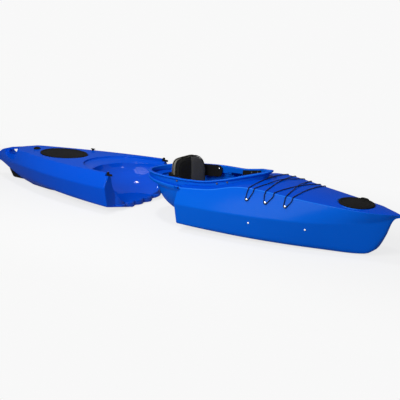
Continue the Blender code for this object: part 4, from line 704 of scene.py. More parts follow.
def coamingHeight(s):  # lowest at the rear, rising over the thighs to the tip
    side, front = coaming["sideHeight"], coaming["frontHeight"]
    aft = between(side, coaming["rearHeight"], np.clip(-s / coaming["rear"], 0, 1) ** 1.5)
    ahead = along([(0, side), (0.25, between(side, front, 0.06)), (0.5, between(side, front, 0.31)),
                   (0.8, between(side, front, 0.74)), (1.0, front)], s / coaming["front"])
    return np.where(s <= 0, aft, ahead)


def coamingPath():  # evenly spaced plan points round the cockpit, from the rear, port side first
    a = np.linspace(0, math.pi / 2, 200)
    s = np.concatenate([-coaming["rear"] * np.cos(a), coaming["front"] * np.sin(a)[1:]])
    fine = np.stack([s, coamingHalf(s)], 1)
    run = np.concatenate([[0], np.cumsum(np.linalg.norm(np.diff(fine, axis=0), axis=1))])
    even = np.linspace(0, run[-1], coaming["steps"])
    half = np.stack([np.interp(even, run, fine[:, 0]), np.interp(even, run, fine[:, 1])], 1)
    return np.concatenate([half, half[-2:0:-1] * (1, -1)])


def outward(path):  # unit plan normals of a closed path
    ahead = np.roll(path, -1, 0) - np.roll(path, 1, 0)
    normal = unit(np.stack([ahead[:, 1], -ahead[:, 0]], 1))
    return normal if (normal * (path - path.mean(0))).sum() > 0 else -normal


def coamingRake(s):  # how far the wall's foot stands inside its top
    return coaming["rake"] * eased((s / coaming["front"] - 0.74) / 0.22)


def coamingFoot(s, y):  # half a wall into the shelf or deck, or two lip thicknesses under the top if lower
    deck = np.where(s <= 0, shelfTop, deckHeight(bowLines, s, y)) - 0.5 * hull["wall"]
    return np.minimum(deck, coamingHeight(s) - 2 * coaming["thick"])


def coamingRings():
    # Wall with an outward rolled lip: inner face up, over a round top edge, round the lip, and down the outer face
    path = coamingPath()
    normal = outward(path)
    s, y = path.T
    top, foot, rake = coamingHeight(s), coamingFoot(s, y), coamingRake(s)
    lip, edge, outer = coaming["lip"], coaming["edge"], coaming["wall"] - coaming["lip"]
    thick = coaming["thick"] + coaming["frontThick"] * eased((s / coaming["front"] - 0.45) / 0.45)
    profile = [(-lip, None), (-lip, edge)]  # offset outward, and drop from the top or none at the foot
    profile += [(-lip + edge * (1 - math.cos(a)), edge * (1 - math.sin(a)))
                for a in np.linspace(0, math.pi / 2, 5)[1:]]
    profile += [(thick / 2 * (math.cos(a) - 1), thick / 2 * (1 - math.sin(a)))
                for a in np.linspace(math.pi / 2, -math.pi / 2, 9)]
    profile += [(outer + 0.004, thick + 0.0005), (outer + 0.001, thick + 0.002), (outer, thick + 0.006),
                (outer + 0.003, None)]
    rings = []
    for off, drop in profile:
        z = foot if drop is None else top - drop
        lean = rake * np.clip((top - z) / np.maximum(top - foot, 1e-6), 0, 1)
        rings.append(rows3(jointX + s + normal[:, 0] * off - lean, y + normal[:, 1] * off, z))
    return np.array(rings).transpose(1, 0, 2)


def cockpitMouth():  # the middle line of the coaming's wall at its foot, drawn straight up
    path = coamingPath()
    edge = path + outward(path) * (coaming["wall"] / 2 - coaming["lip"])
    plan = np.stack([jointX + edge[:, 0] - coamingRake(path[:, 0]), edge[:, 1]], 1)
    return prism("cockpitMouth", plan, shelfTop - 2 * hull["wall"], farAbove)


# Hatches. Each end has its lines, its X, its distance from the joint face, its half length and half width; the
# profiles of what is added to the hull and cut from it are (offset from the hatch's oval, height) pairs

hatch = {"ledge": 0.018, "lift": -0.004, "sides": 96, "frontTilt": 4.0,
         "front": (bowLines, bowX, 1.081, 0.108, 0.108), "rear": (sternLines, sternAt, 0.703, 0.190, 0.143),
         "Seat": ((0.012, -0.030), (0.012, -0.008), (0.0085, -0.0055), (0.0060, -0.0025), (0.0048, -0.0008),
                  (0.0030, 0.0)),
         "Recess": ((0.0030, 0.0), (0.0055, 0.0012), (0.0140, 0.012), (0.03, 0.05))}
hatch["Hole"] = ((-hatch["ledge"], -0.06), (-hatch["ledge"], 0.03))


def hatchPlace(end):  # the deck's middle height plus the lift; the front hatch is tilted about Y too
    lines, xAt, u = hatch[end][:3]
    place = Matrix.Translation((xAt(u), 0.0, float(deckHeight(lines, u, 0.0)) + hatch["lift"]))
    return place @ Matrix.Rotation(math.radians(hatch["frontTilt"]), 4, "Y") if end == "front" else place


def hatchForm(end, part, profile, paint=None, closed=False):  # a profile carried round a hatch
    rings = ovalRings(profile, *hatch[end][3:], hatch["sides"], hatchPlace(end))
    return lofted(f"{end}Hatch{part}", rings, paint, closed)


def hatchSteps(end, kinds):  # each listed profile's form, to be added or cut
    return [(operation, hatchForm(end, part, hatch[part])) for operation, part in kinds]


latch = {"u": 0.020, "y": 0.297, "level": 0.257, "nose": 0.036, "thick": 0.012, "barrel": 0.009, "room": 0.001,
         "slack": 0.002}


def upright(name, centre, radius, low, high):  # an upright cylinder: a circle of 40 points drawn up
    a = angles(40)
    return prism(name, np.stack([centre[0] + radius * np.cos(a), centre[1] + radius * np.sin(a)], 1), low, high)


def bowShell():
    # Lofted sections, with the bulge, the hatch's seat and the coaming added; flutes, hollow and mouths are cut
    wall = hull["wall"]
    marks = stations(0.0, hull["bowLength"], hull["bowEndRound"], hull["bowFine"])
    target = lofted("bowShell", sectionRings(bowLines(marks), bowX(marks), endInset(marks, hull["bowEndRound"])),
                    hullBlue)
    behind = jointX - 2 * teeth["depth"]
    line = [(jointX + front, y) for y, front in toothLine(teeth["fit"])]
    flutes = prism("flutes", [(behind, -teethHalf)] + line + [(behind, teethHalf)], farBelow, teeth["fluteTop"])
    filler = lofted("bulge", bulgeRings(bulgeProfile(shelfTop, 0.0), 0.0, teeth["depth"] + 0.5 * wall, jointX))
    inner = stations(teeth["depth"] + wall, hull["bowHollowEnd"] * hull["bowLength"])
    cavity = lofted("bowCavity", sectionRings(bowLines(inner), bowX(inner), wall))
    rows = [(z, bulge["length"] + 0.012, bulge["half"] + 0.002)
            for z in (shelfTop - wall, bulge["top"] - 0.002 + wall)]
    for share in np.linspace(0, 1, 16):
        z = between(bulge["top"], bulge["floor"], share)
        rows.append((z + wall * share, *bulgeSize(z)))
    inside = lofted("bulgeCavity", bulgeRings(rows, -wall, 0.060, jointX))
    room, half = latch["nose"] + latch["barrel"] / 2, latch["thick"] / 2 + latch["room"]
    blocks, slots = [], []
    for side in (1, -1):
        centre, level = (jointX - latch["u"], side * latch["y"]), latch["level"]
        below = level - latch["thick"] - latch["slack"]
        blocks.append((cut, upright(f"slotBlock{side}", centre, room + wall, below, shelfTop)))
        slots.append((cut, upright(f"slot{side}", centre, room, level - half, level + half)))
    steps = [(cut, flutes), (add, filler)] + hatchSteps("front", ((add, "Seat"), (cut, "Recess")))
    steps += [(cut, cavity), (cut, shaped(inside, blocks))] + slots
    steps += [(cut, cockpitMouth()), (add, lofted("coamingRing", coamingRings(), closed=True))]
    shaped(target, steps + hatchSteps("front", ((cut, "Hole"),)))
    print("bow shell:", len(target.data.polygons), "faces")
    placed(smooth(target), bow, "bow_hull")


bowShell()

skeg = {"thick": 0.006, "front": 0.985, "rear": 1.275, "pivot": 1.020, "pivotHeight": 0.030, "swing": 16.0,
        "bottom": 0.004, "top": 0.096, "box": 0.006, "room": 0.001, "frontRoom": 0.004, "rearRoom": 0.006,
        "roofRoom": 0.004, "roofFront": 0.032}
# The scoop's rows: shift along the hull, half length, half height, distance from the middle plane
handle = {"u": 1.208, "height": 0.204, "length": 0.092, "open": 0.036, "tilt": 11.0, "fingerLength": 0.108,
          "fingerShift": 0.008, "sides": 64,
          "scoop": ((0.008, 0.054, 0.045, 0.014), (0.010, 0.062, 0.049, 0.022), (0.015, 0.072, 0.052, 0.038),
                    (0.026, 0.086, 0.055, 0.063), (0.042, 0.100, 0.060, 0.110), (0.042, 0.100, 0.060, farAbove))}


def skegSlot(name, grow):  # room that the fin swings in: its side outline, drawn out across the fin's thickness
    reachAlong = skeg["rear"] - skeg["pivot"]
    rise = skeg["bottom"] + skeg["top"] - skeg["pivotHeight"]
    lift = math.atan2(rise, reachAlong) + math.radians(skeg["swing"])
    roof = skeg["pivotHeight"] + math.hypot(reachAlong, rise) * math.sin(lift) + skeg["roofRoom"] + grow
    front, rear = skeg["front"] - skeg["frontRoom"] - grow, skeg["rear"] + skeg["rearRoom"] + grow
    outline = [(sternAt(front), farBelow), (sternAt(rear), farBelow), (sternAt(rear), roof - 0.02),
               (sternAt(rear - 0.02), roof), (sternAt(rear - 0.05), roof),
               (sternAt(front), skeg["pivotHeight"] + skeg["roofFront"] + grow)]
    half = skeg["thick"] / 2 + skeg["room"] + grow
    return prism(name, outline, -half, half, 1)


def roundBar(length, height, centre, tilt):  # side outline of a bar with half-round ends
    radius = height / 2
    reach = length / 2 - radius
    a = np.linspace(-math.pi / 2, math.pi / 2, 14)
    x = np.concatenate([reach + radius * np.cos(a), -reach - radius * np.cos(a)])
    z = np.concatenate([radius * np.sin(a), -radius * np.sin(a)])
    c, s = math.cos(tilt), math.sin(tilt)
    return np.stack([centre[0] + x * c - z * s, centre[1] + x * s + z * c], 1)


def bowlCutter():
    # The bulge's shape grown by its fit; its mouth flares over a small radius just under the deck
    fit, radius = bulge["fit"], bulge["lipRound"]
    rows = bulgeProfile(shelfTop - 0.004, fit)[:-4]
    z, a, b = rows[-1]
    for left in np.linspace(1, 0, 9)[1:]:  # a parabola from the side's slope to the level floor
        rows.append((bulge["floor"] - fit + (z - bulge["floor"] + fit) * left ** 2,
                     a - bulge["floorLong"] * (1 - left), b - bulge["floorWide"] * (1 - left)))
    rows = [(z, a - bulge["mouthBack"], b) for z, a, b in rows]
    rings = bulgeRings(rows[1:], fit, 0.080, sternX - bulge["mouthBack"], bulge["mouthFlare"])
    first = rings[0]
    way = first[:, :2] - (sternX, 0.0)
    way[first[:, 0] > sternX, 0] = 0.0
    way = unit(way)
    deck = deckHeight(sternLines, np.maximum(sternX - first[:, 0], 0.0), 0.0)
    mouth = []
    for turn in np.linspace(math.pi / 2, 0, 6):
        plan = first[:, :2] + way * radius * (1 - math.cos(turn))
        mouth.append(rows3(*plan.T, deck - radius * (1 - math.sin(turn))))
    above = rows3(*mouth[0][:, :2].T, farAbove)
    return lofted("bowl", [above] + mouth + rings)


def toothTrimmer():
    # Everything ahead of the scalloped lip; the lip's top edge is rounded back
    levels = [(farBelow, 0.0), (teeth["lip"], 0.0)]
    for turn in np.linspace(0, 1.35, 6)[1:]:
        levels.append((teeth["lip"] + teeth["lipRound"] * math.sin(turn), teeth["lipBack"] * (1 - math.cos(turn))))
    levels.append((farAbove, levels[-1][1]))
    ahead = sternX + 0.2
    rings = []
    for z, back in levels:
        line = [(sternX + front, y) for y, front in toothLine(0.0, back)[::-1]]
        plan = [(ahead, teethHalf), (ahead, farAbove), (sternX - back, farAbove), *line,
                (sternX - back, -farAbove), (ahead, -farAbove)]
        rings.append([(x, y, z) for x, y in plan])
    return lofted("toothTrimmer", rings)


def handleScoop(side):  # boxed oval rings, wider and farther out row by row
    a = angles(handle["sides"])
    c, s = (np.sign(v) * np.sqrt(np.abs(v)) for v in (np.cos(a), np.sin(a)))
    level = handle["height"] + (handle["length"] - handle["open"]) / 2
    return lofted(f"scoop{side}", [rows3(sternAt(handle["u"]) + shift + long * c, side * y, level + tall * s)
                                   for shift, long, tall, y in handle["scoop"]])


def latchNotch(side):  # a rectangle across the joint face and out past the side, drawn up from under the hook
    near, far = sorted((side * (bulge["shelfHalf"] - 0.01), side * farAbove))
    rear, front = sternX - latch["u"] - latch["barrel"] - latch["slack"], sternX + 0.05
    plan = [(rear, near), (front, near), (front, far), (rear, far)]
    return prism(f"notch{side}", plan, latch["level"] - latch["thick"] / 2 - latch["room"], farAbove)


def sternShell():
    # Lofted sections trimmed to the teeth, with the hatch's seat added; hollow, bowl, slots and mouths are cut
    wall, grown = hull["wall"], bulge["fit"] + hull["wall"]
    marks = np.concatenate([[-teeth["depth"] - 0.004],
                            stations(0.0, hull["sternLength"], hull["sternEndRound"], hull["sternFine"])])
    rings = sectionRings(sternLines(marks), sternAt(marks), endInset(marks, hull["sternEndRound"]),
                         endInset(marks, hull["sternLipRound"]))
    target = lofted("sternShell", rings, sternBlue)
    inner = stations(hull["sternFrame"], hull["sternHollowEnd"])
    cavity = lofted("sternCavity", sectionRings(sternLines(inner), sternAt(inner), wall))
    backing = lofted("bowlBacking", bulgeRings(bulgeProfile(farAbove, grown), grown, 0.08, sternX))
    hollow = shaped(cavity, [(cut, backing), (cut, skegSlot("skegBox", skeg["box"]))])
    centre = (sternAt(handle["u"]) + handle["fingerShift"], handle["height"])
    finger = roundBar(handle["fingerLength"], handle["open"], centre, math.radians(handle["tilt"]))
    steps = [(cut, toothTrimmer())] + hatchSteps("rear", ((add, "Seat"), (cut, "Recess")))
    steps += [(cut, hollow), (cut, bowlCutter()), (cut, skegSlot("skegSlot", 0.0))]
    steps += hatchSteps("rear", ((cut, "Hole"),)) + [(cut, prism("handleHole", finger, -farAbove, farAbove, 1))]
    steps += [(cut, form(side)) for form in (handleScoop, latchNotch) for side in (1, -1)]
    shaped(target, steps)
    print("stern shell:", len(target.data.polygons), "faces")
    placed(smooth(target), stern, "stern_hull")


sternShell()


# Bolts: domed heads with a round recess, round cap nuts

bolt = {"radius": 0.003, "head": 0.0060, "height": 0.004, "rim": 0.0010, "recess": 0.0024, "sides": 24,
        "nut": 0.0060, "nutHeight": 0.003, "nutRim": 0.0008}


def boltShape(name, foot, normal, shank, raised, nut, paint):
    # Radius against height: shank, flat under the head, rim, quarter-round dome, recess
    base = seatGap + raised
    dome = np.linspace(0, math.pi / 2, 9)
    reach = np.maximum(bolt["head"] * np.cos(dome), bolt["recess"])
    rise = base + bolt["rim"] + (bolt["height"] - bolt["rim"]) * np.sin(dome)
    rows = [(bolt["radius"], -shank), (bolt["radius"], base), (bolt["head"], base), *zip(reach, rise),
            (bolt["recess"] * 0.96, rise[-1] - 0.0016), (bolt["recess"] * 0.3, rise[-1] - 0.0018)]
    if nut:
        domed = bolt["nutHeight"] - bolt["nutRim"]
        cap = [(bolt["nut"] * math.cos(a), -shank - bolt["nutRim"] - domed * math.sin(a))
               for a in (1.5, 1.2, 0.9, 0.6, 0.3, 0.0)]
        rows = [(0.0006, -shank - bolt["nutHeight"]), *cap, (bolt["nut"], -shank)] + rows
    place = Matrix.Translation(foot) @ Vector(normal).to_track_quat("Z", "Y").to_matrix().to_4x4()
    return smooth(lofted(name, ovalRings(rows, 0.0, 0.0, bolt["sides"], place), paint), 30.0)


def surfacePoint(u, share):  # upper side panel of the bow section: 0 at the gunwale, 1 at the chine
    half = halfSection(u)
    at = halfPoints["gunwale"] + share * (halfPoints["chine"] - halfPoints["gunwale"])
    return np.array([bowX(u)] + [np.interp(at, np.arange(len(half)), half[:, i]) for i in (0, 1)])


def lowerPoint(u, height):  # lower side panel
    half = halfSection(u)[halfPoints["chine"]:halfPoints["foot"] + 1][::-1]
    return np.array([bowX(u), np.interp(height, half[:, 1], half[:, 0]), height])


def panelNormal(here, ahead, lower):  # square to the ways ahead and down, turned to port
    normal = unit(np.cross(ahead - here, lower - here))
    return normal if normal[1] > 0 else -normal


def coamingWall(s, side, offset):  # plan point on a face of the coaming's wall, and the normal out of the cockpit
    path = coamingPath()
    line = (path + outward(path) * offset)[:coaming["steps"]]
    i = int(np.clip(np.searchsorted(line[:, 0], s) - 1, 0, len(line) - 2))
    run = line[i + 1] - line[i]
    normal = unit(np.array([-run[1], run[0]]))
    return (np.array([jointX + s, side * np.interp(s, line[:, 0], line[:, 1])]),
            np.array([normal[0], side * normal[1]]))


# Each turn of the cord: side, row, where it crosses the gunwale behind the bolt and ahead of it; then whether the
# stretch that follows rises over another
cordLace = {"radius": 0.0027, "rows": (0.488, 0.608, 0.731), "clear": 0.0012, "drop": 0.40, "sides": 10,
            "loop": 0.0036, "shank": 0.012,
            "turns": ((1, 0, 0.020, 0.040), (-1, 0, 0.012, 0.024), (1, 1, 0.009, 0.045),
                      (-1, 2, 0.012, 0.030), (1, 2, 0.006, 0.031), (-1, 1, 0.020, 0.034)),
            "over": (False, True, True, False, False, False)}
backrest = {"x": -0.128, "half": 0.166, "top": 0.405, "bottom": 0.150, "middle": 0.258, "thick": 0.036,
            "arch": 2.3, "shoulder": 6.5, "square": 4.0, "shell": 0.012, "pivotX": -0.061, "pivotHeight": 0.291,
            "armRoom": 0.0085, "armThick": 0.006, "inner": 0.998, "hollow": 0.009, "crown": 0.007, "wing": 0.008,
            "fold": 0.0060, "foldWidth": 0.0065, "stitch": 0.0022, "stitchAt": 0.80, "stitchWidth": 0.030,
            "swell": 0.005, "voxel": 0.004}
brace = {"rear": 0.222, "front": 0.284, "plate": 0.0062}
footRail = {"rear": 0.522, "front": 0.860, "height": 0.135, "shank": 0.024}


def laceBolt(row, side):  # a point on the upper panel and its normal, mirrored for starboard
    u = cordLace["rows"][row]
    here = surfacePoint(u, cordLace["drop"])
    normal = panelNormal(here, surfacePoint(u + 0.01, cordLace["drop"]), surfacePoint(u, cordLace["drop"] + 0.1))
    return here * (1, side, 1), normal * (1, side, 1)


def allBolts():
    made = []  # node, foot, normal, shank, how far the head is raised, nut
    wallThrough = coaming["wall"] + 0.003
    for side, end in ((1, "left"), (-1, "right")):
        for row in range(3):
            made.append((f"bungee_bolt_{end}_{row + 1}", *laceBolt(row, side), cordLace["shank"],
                         2 * cordLace["radius"] + 0.002, False))
        face = wallThrough - coaming["lip"]
        point, _ = coamingWall(backrest["pivotX"], side, face)
        inner = abs(coamingWall(backrest["pivotX"], side, -coaming["lip"])[0][1])
        arm = inner - backrest["armRoom"] - backrest["armThick"] / 2
        made.append((f"backrest_bolt_{end}", (*point, backrest["pivotHeight"]), (0, side, 0),
                     abs(point[1]) - arm + backrest["armThick"] / 2 + 0.001, 0.0, True))
        for tag in ("rear", "front"):
            s = brace[tag]
            point, normal = coamingWall(s, side, face)
            deck = float(deckHeight(bowLines, s, coamingHalf(np.array(s)) - coaming["lip"]))
            level = (deck + float(coamingHeight(np.array(s))) - coaming["thick"] - 0.002) / 2
            made.append((f"thigh_brace_bolt_{tag}_{end}", (*point, level), (*normal, 0),
                         wallThrough + brace["plate"], 0.0, True))
            u, height = footRail[tag], footRail["height"]
            here = lowerPoint(u, height)
            normal = panelNormal(here, lowerPoint(u + 0.02, height), lowerPoint(u, height - 0.02))
            made.append((f"foot_rail_bolt_{end}_{tag}", here * (1, side, 1), normal * (1, side, 1),
                         footRail["shank"], 0.0, False))
    for name, foot, normal, shank, raised, nut in made:
        paint = dullSteel if "brace" in name or name == "backrest_bolt_right" else steel
        placed(boltShape(name + "_domed", foot, normal, shank, raised, nut, paint), bow, name)
    print("bolts:", len(made))


allBolts()


# Deck cord: once round each bolt, over the gunwale and across the foredeck

def overGunwale(u, side):  # cord's middle round the gunwale's edge, from the side panel up to the deck
    half = halfSection(u)[halfPoints["gunwale"] - 7:halfPoints["gunwale"] + 3]
    run = half[2:] - half[:-2]
    normal = unit(np.stack([-run[:, 1], run[:, 0]], 1))
    line = half[1:-1] + normal * (cordLace["radius"] + cordLace["clear"])
    return rows3(bowX(u), side * line[:, 0], line[:, 1])[::-1]


def laceRoute():
    # Each turn goes down over the gunwale, round an arc of 160 degrees under its bolt and up again, then
    # straight in plan to the next turn, at the deck's height and raised where it lies over another
    turns, radius, plan = [], cordLace["radius"], cordLace["turns"]
    for i, (side, row, behind, ahead) in enumerate(plan):
        way = 1 if plan[(i + 1) % len(plan)][1] > plan[i - 1][1] else -1
        u = cordLace["rows"][row]
        turns.append((side, row, way, u - behind if way > 0 else u + ahead, u + ahead if way > 0 else u - behind))
    route = []
    for i, (side, row, way, first, second) in enumerate(turns):
        here, normal = laceBolt(row, side)
        forward = unit(np.array((1.0, 0.0, 0.0)) - normal * normal[0])
        down = np.cross(normal, forward)
        down *= -math.copysign(1.0, down[2])
        loop = bolt["radius"] + radius + cordLace["loop"]
        turn = np.radians(np.linspace(-80, 80, 9))[:, None]
        ring = here + normal * (radius + cordLace["clear"])
        ring = ring + loop * (forward * way * np.sin(turn) + down * np.cos(turn))
        start, follow = overGunwale(second, side), turns[(i + 1) % len(turns)]
        stop = overGunwale(follow[3], follow[0])[-1]
        share = np.linspace(0, 1, 15)[1:-1, None]
        deck = start[-1] + (stop - start[-1]) * share
        over = (2 * radius + 0.0008) * eased(1 - np.abs(share[:, 0] - 0.5) / 0.3) if cordLace["over"][i] else 0.0
        deck[:, 2] = deckHeight(bowLines, deck[:, 0] - jointX, deck[:, 1]) + radius + cordLace["clear"] + over
        route += [overGunwale(first, side)[::-1], ring, start, deck]
    return np.concatenate(route)


def curvedThrough(points, steps):  # closed run of cubic pieces through every point
    f = np.linspace(0, 1, steps, endpoint=False)[None, :, None]
    a, b, c, d = (np.roll(points, k, 0)[:, None] for k in (1, 0, -1, -2))
    runs = 0.5 * (2 * b + (c - a) * f + (2 * a - 5 * b + 4 * c - d) * f ** 2 + (3 * b - a - 3 * c + d) * f ** 3)
    return runs.reshape(-1, 3)


placed(tube("deckCord", curvedThrough(laceRoute(), 3), cordLace["radius"], cordLace["sides"], bungeeSleeve), bow,
       "deck_bungee")
print("deck cord ready")


# Hatch fittings: rim ring, and a rubber lid with a rolled bead, a channel, two ridges and a crowned middle

lid = {"height": 0.0105, "channel": 0.0050, "ridge": 0.0014, "crown": 0.0035, "middle": 0.0335, "step": 0.0026,
       "tabWidth": 0.030, "tabTurn": 90.0, "tabSides": 12}


def hatchRim(end, body):  # an oblong profile with eased corners, carried round the hatch's oval
    inner = -hatch["ledge"]
    corners = [(-0.014, seatGap), (inner, seatGap), (inner, 0.0034), (-0.0105, 0.0034), (-0.0105, seatGap),
               (-0.014, seatGap)]
    made = hatchForm(end, "Rim", roundedProfile(corners, 0.0008, 3)[:-1], blackPlastic, True)
    placed(smooth(made), body, f"{end}_hatch_rim")


def lidGrip(end, top):  # a low moulded tab that arches over the bead: rings round the bead, carried along its turn
    t = np.linspace(-1, 1, 25)
    arch = np.sqrt(np.maximum(1 - np.abs(t) ** 4, 0.0))
    a, b = hatch[end][3:]
    spot = math.radians(lid["tabTurn"]) + t * lid["tabWidth"] / a
    rings = []
    for k in range(lid["tabSides"]):
        around = 2 * math.pi * k / lid["tabSides"]
        off = -0.0065 + 0.0085 * math.cos(around) * (0.35 + 0.65 * arch)
        z = top - 0.0018 + (0.0078 * arch) * (0.5 + 0.5 * math.sin(around)) - 0.0022 * (1 - arch)
        rings.append(rows3((a + off) * np.cos(spot), (b + off) * np.sin(spot), z))
    return lofted(f"{end}HatchLidGrip", moved(np.array(rings).transpose(1, 0, 2), hatchPlace(end)), hatchRubber)


def hatchLid(end):
    # The rolled edge as listed; inside it the height dips, then rises by a smooth step to the middle,
    # with two ridges that are bell curves of the share
    top, channel, inside = lid["height"], lid["height"] - lid["channel"], lid["middle"]
    floor = channel + lid["step"]
    low = hatch["ledge"] + 0.0085
    skirt = [(-low, 0.0040), (-0.0098, 0.0040), (-0.0098, 0.0006), (-0.001, 0.0006), (0.0, 0.0012),
             (0.0004, 0.0055), (-0.0015, top - 0.0018), (-0.006, top), (-0.0115, top), (-0.0160, top - 0.0020),
             (-0.0180, channel + 0.0010), (-0.0230, channel), (-0.0275, channel + 0.0008), (-0.0300, floor),
             (-inside, floor)]
    share = np.linspace(0, 1, 26)[1:-1]
    level = floor - 0.0012 * eased(share / 0.12) + lid["crown"] * eased(share)
    for centre in (0.30, 0.62):
        level += lid["ridge"] * np.exp(-((share - centre) / 0.035) ** 2)
    reach = min(hatch[end][3:]) - inside
    middle = np.column_stack([-inside - reach * 0.985 * share, level])
    made = hatchForm(end, "Lid", np.concatenate([roundedProfile(skirt, 0.0020, 4), middle]), hatchRubber)
    if end == "front":
        shaped(made, [(add, lidGrip(end, top))])
    placed(smooth(made, 38.0), f"{end}_hatch_lid", f"{end}_hatch_lid")


for end, body in (("front", bow), ("rear", stern)):
    hatchRim(end, body)
for end in ("front", "rear"):
    hatchLid(end)
print("hatches ready")


# Padded pieces: a slightly small closed form swells under air pressure, then gets its seams

swelling = {"frames": 20, "pressure": 4.0, "quality": 6, "coarser": 1.6}


def readAll(items, key):  # one vector for each vertex or face
    flat = np.empty(len(items) * 3)
    items.foreach_get(key, flat)
    return flat.reshape(-1, 3)


def writePoints(made, points):  # each row of points becomes a vertex's place
    made.data.vertices.foreach_set("co", points.ravel())
    made.data.update()


def puffed(made, facts, axis, rest):
    # Voxel mesh, then frames of cloth with air pressure; no point moves further than the swell, or below its rest
    step = made.modifiers.new("voxels", "REMESH")
    step.mode = "VOXEL"
    step.voxel_size = facts["voxel"] * 1.0
    applied(made)
    start = readAll(made.data.vertices, "co")
    air = made.modifiers.new("air", "CLOTH").settings
    air.use_pressure = True
    air.uniform_pressure_force = swelling["pressure"]
    air.effector_weights.gravity = 0.0
    air.quality = swelling["quality"]
    for number in range(1, swelling["frames"] + 1):
        bpy.context.scene.frame_set(number)
    applied(made)
    bpy.context.scene.frame_set(1)
    way = readAll(made.data.vertices, "co") - start
    length = np.linalg.norm(way, axis=1)[:, None]
    points = start + way * np.minimum(1.0, facts["swell"] / np.maximum(length, 1e-9))
    points[:, axis] = np.maximum(points[:, axis], rest)
    writePoints(made, points)
    finer = made.modifiers.new("finer", "SUBSURF")
    finer.levels = finer.render_levels = 1
    applied(made)


def sewn(pad, axis, depth, choice):
    # Points that face along the axis sink by the depth; each face takes the cloth chosen for its middle and normal
    points = readAll(pad.data.vertices, "co")
    points[:, axis] -= depth(points) * np.clip(readAll(pad.data.vertices, "normal")[:, axis], 0, 1)
    writePoints(pad, points)
    faces = pad.data.polygons
    faces.foreach_set("material_index", choice(readAll(faces, "center"), readAll(faces, "normal")).astype(int))
    return smooth(pad, 80.0)


def groove(away, width):  # 1 on a seam, 0 well beside it
    return np.exp(-np.abs(away / width) ** 1.5)


# Backrest: two-panel pad with piping and a side gusset, shell, arms, webbing

padFront = jointX + backrest["x"]


def backrestReach(up):  # from the middle up to the top, or down to the bottom
    return np.where(up, backrest["top"] - backrest["middle"], backrest["middle"] - backrest["bottom"])


def cornerPower(y, z):  # square below, arched above, with a fuller shoulder to starboard
    return np.where(z < 0, backrest["square"], np.where(y > 0, backrest["arch"], backrest["shoulder"]))


def backrestOutline(grow, count=120):
    # Superellipse about the middle, with its own power in each quarter
    c, s = np.cos(angles(count)), np.sin(angles(count))
    power = cornerPower(c, s)
    y = np.sign(c) * np.abs(c) ** (2 / power) * (backrest["half"] + grow)
    return y, backrest["middle"] + np.sign(s) * np.abs(s) ** (2 / power) * (backrestReach(s > 0) + grow)


def backrestShare(y, z):  # 0 in the middle, 1 on the outline
    up = z - backrest["middle"]
    power = cornerPower(y, up)
    return ((np.abs(y) / backrest["half"]) ** power + (np.abs(up) / backrestReach(up > 0)) ** power) ** (1 / power)


def backrestRing(x, y, z, share, inner=1.0):  # the outline drawn in toward its middle
    return rows3(x, y * share * inner, backrest["middle"] + (z - backrest["middle"]) * share * inner)


def padFace(y, share):  # both halves crowned, and turned inward like wings
    crown = backrest["crown"] * np.sqrt(np.maximum(1 - share ** 4, 0.0))
    wing = backrest["wing"] * np.abs(y) / backrest["half"] * np.sqrt(np.maximum(1 - share ** 8, 0.0))
    return padFront - backrest["hollow"] + crown + wing


def backrestPad():
    # Rings of the outline drawn in by a share: the curved face from its middle out, the side, then the
    # flat back
    y, z = backrestOutline(-0.003)
    back = padFront - backrest["thick"]
    rings = [(padFace(y * share, share), share)
             for share in (0.04, 0.12, 0.22, 0.32, 0.42, 0.52, 0.62, 0.72, 0.80, 0.87, 0.93, 0.97, 0.99, 1.0)]
    rings += [(padFront - 0.013, 1.004), (padFront - 0.028, 1.004), (back + 0.003, 0.995), (back + 0.0006, 0.975),
              (back + 0.0004, 0.6), (back + 0.0004, 0.05)]
    # the face's charcoal cloth paints its lit half, the black cloth its shaded half
    pad = lofted("backrestPad", [backrestRing(x, y, z, share, backrest["inner"]) for x, share in rings], seatAndLitBackrestCloth)
    pad.data.materials.append(seatAndShadedBackrestCloth)
    pad.data.materials.append(meshCloth)
    puffed(pad, backrest, 0, back + 0.0003)

    def seams(points):  # a deep fold down the middle, and a stitched line a hand's width inside the edge
        share = backrestShare(points[:, 1], points[:, 2])
        fold = backrest["fold"] * groove(points[:, 1], backrest["foldWidth"]) * (1 - np.clip(share, 0, 1) ** 10)
        stitched = np.exp(-((share - backrest["stitchAt"]) / backrest["stitchWidth"]) ** 2)
        return fold + backrest["stitch"] * stitched

    def gussetAndPaintedLightHalves(centre, normal):  # mesh on the side and back; on the face, painted light: charcoal to port as the lit half, black to starboard as the shaded half
        gusset = (normal[:, 0] < 0.45) | (backrestShare(centre[:, 1], centre[:, 2]) > 1.0)
        return np.where(gusset, 2, np.where(centre[:, 1] > 0, 0, 1))
    sewn(pad, 0, seams, gussetAndPaintedLightHalves)
    placed(pad, "backrest", "backrest_pad")


def backrestShell():
    # Rings of the outline, rounded at the back edge, then a flat back with two shallow sunk bands
    rear, thick = padFront - backrest["thick"] - seatGap, backrest["shell"]
    rings = []
    for deep, grow in ((0.0, -0.006), (0.0012, -0.005), (0.4 * thick, -0.008), (0.75 * thick, -0.013),
                       (thick, -0.020)):
        y, z = backrestOutline(grow)
        rings.append(rows3(rear - deep, y, z))
    for share, deep in ((0.58, 0.0), (0.55, 0.0030), (0.30, 0.0030), (0.27, 0.0005), (0.20, 0.0005),
                        (0.17, 0.0030), (0.03, 0.0030)):  # inside the last outline
        rings.append(backrestRing(rear - thick + deep, y, z, share))
    placed(smooth(lofted("backrestShell", rings, blackPlastic)), "backrest", "backrest_shell")


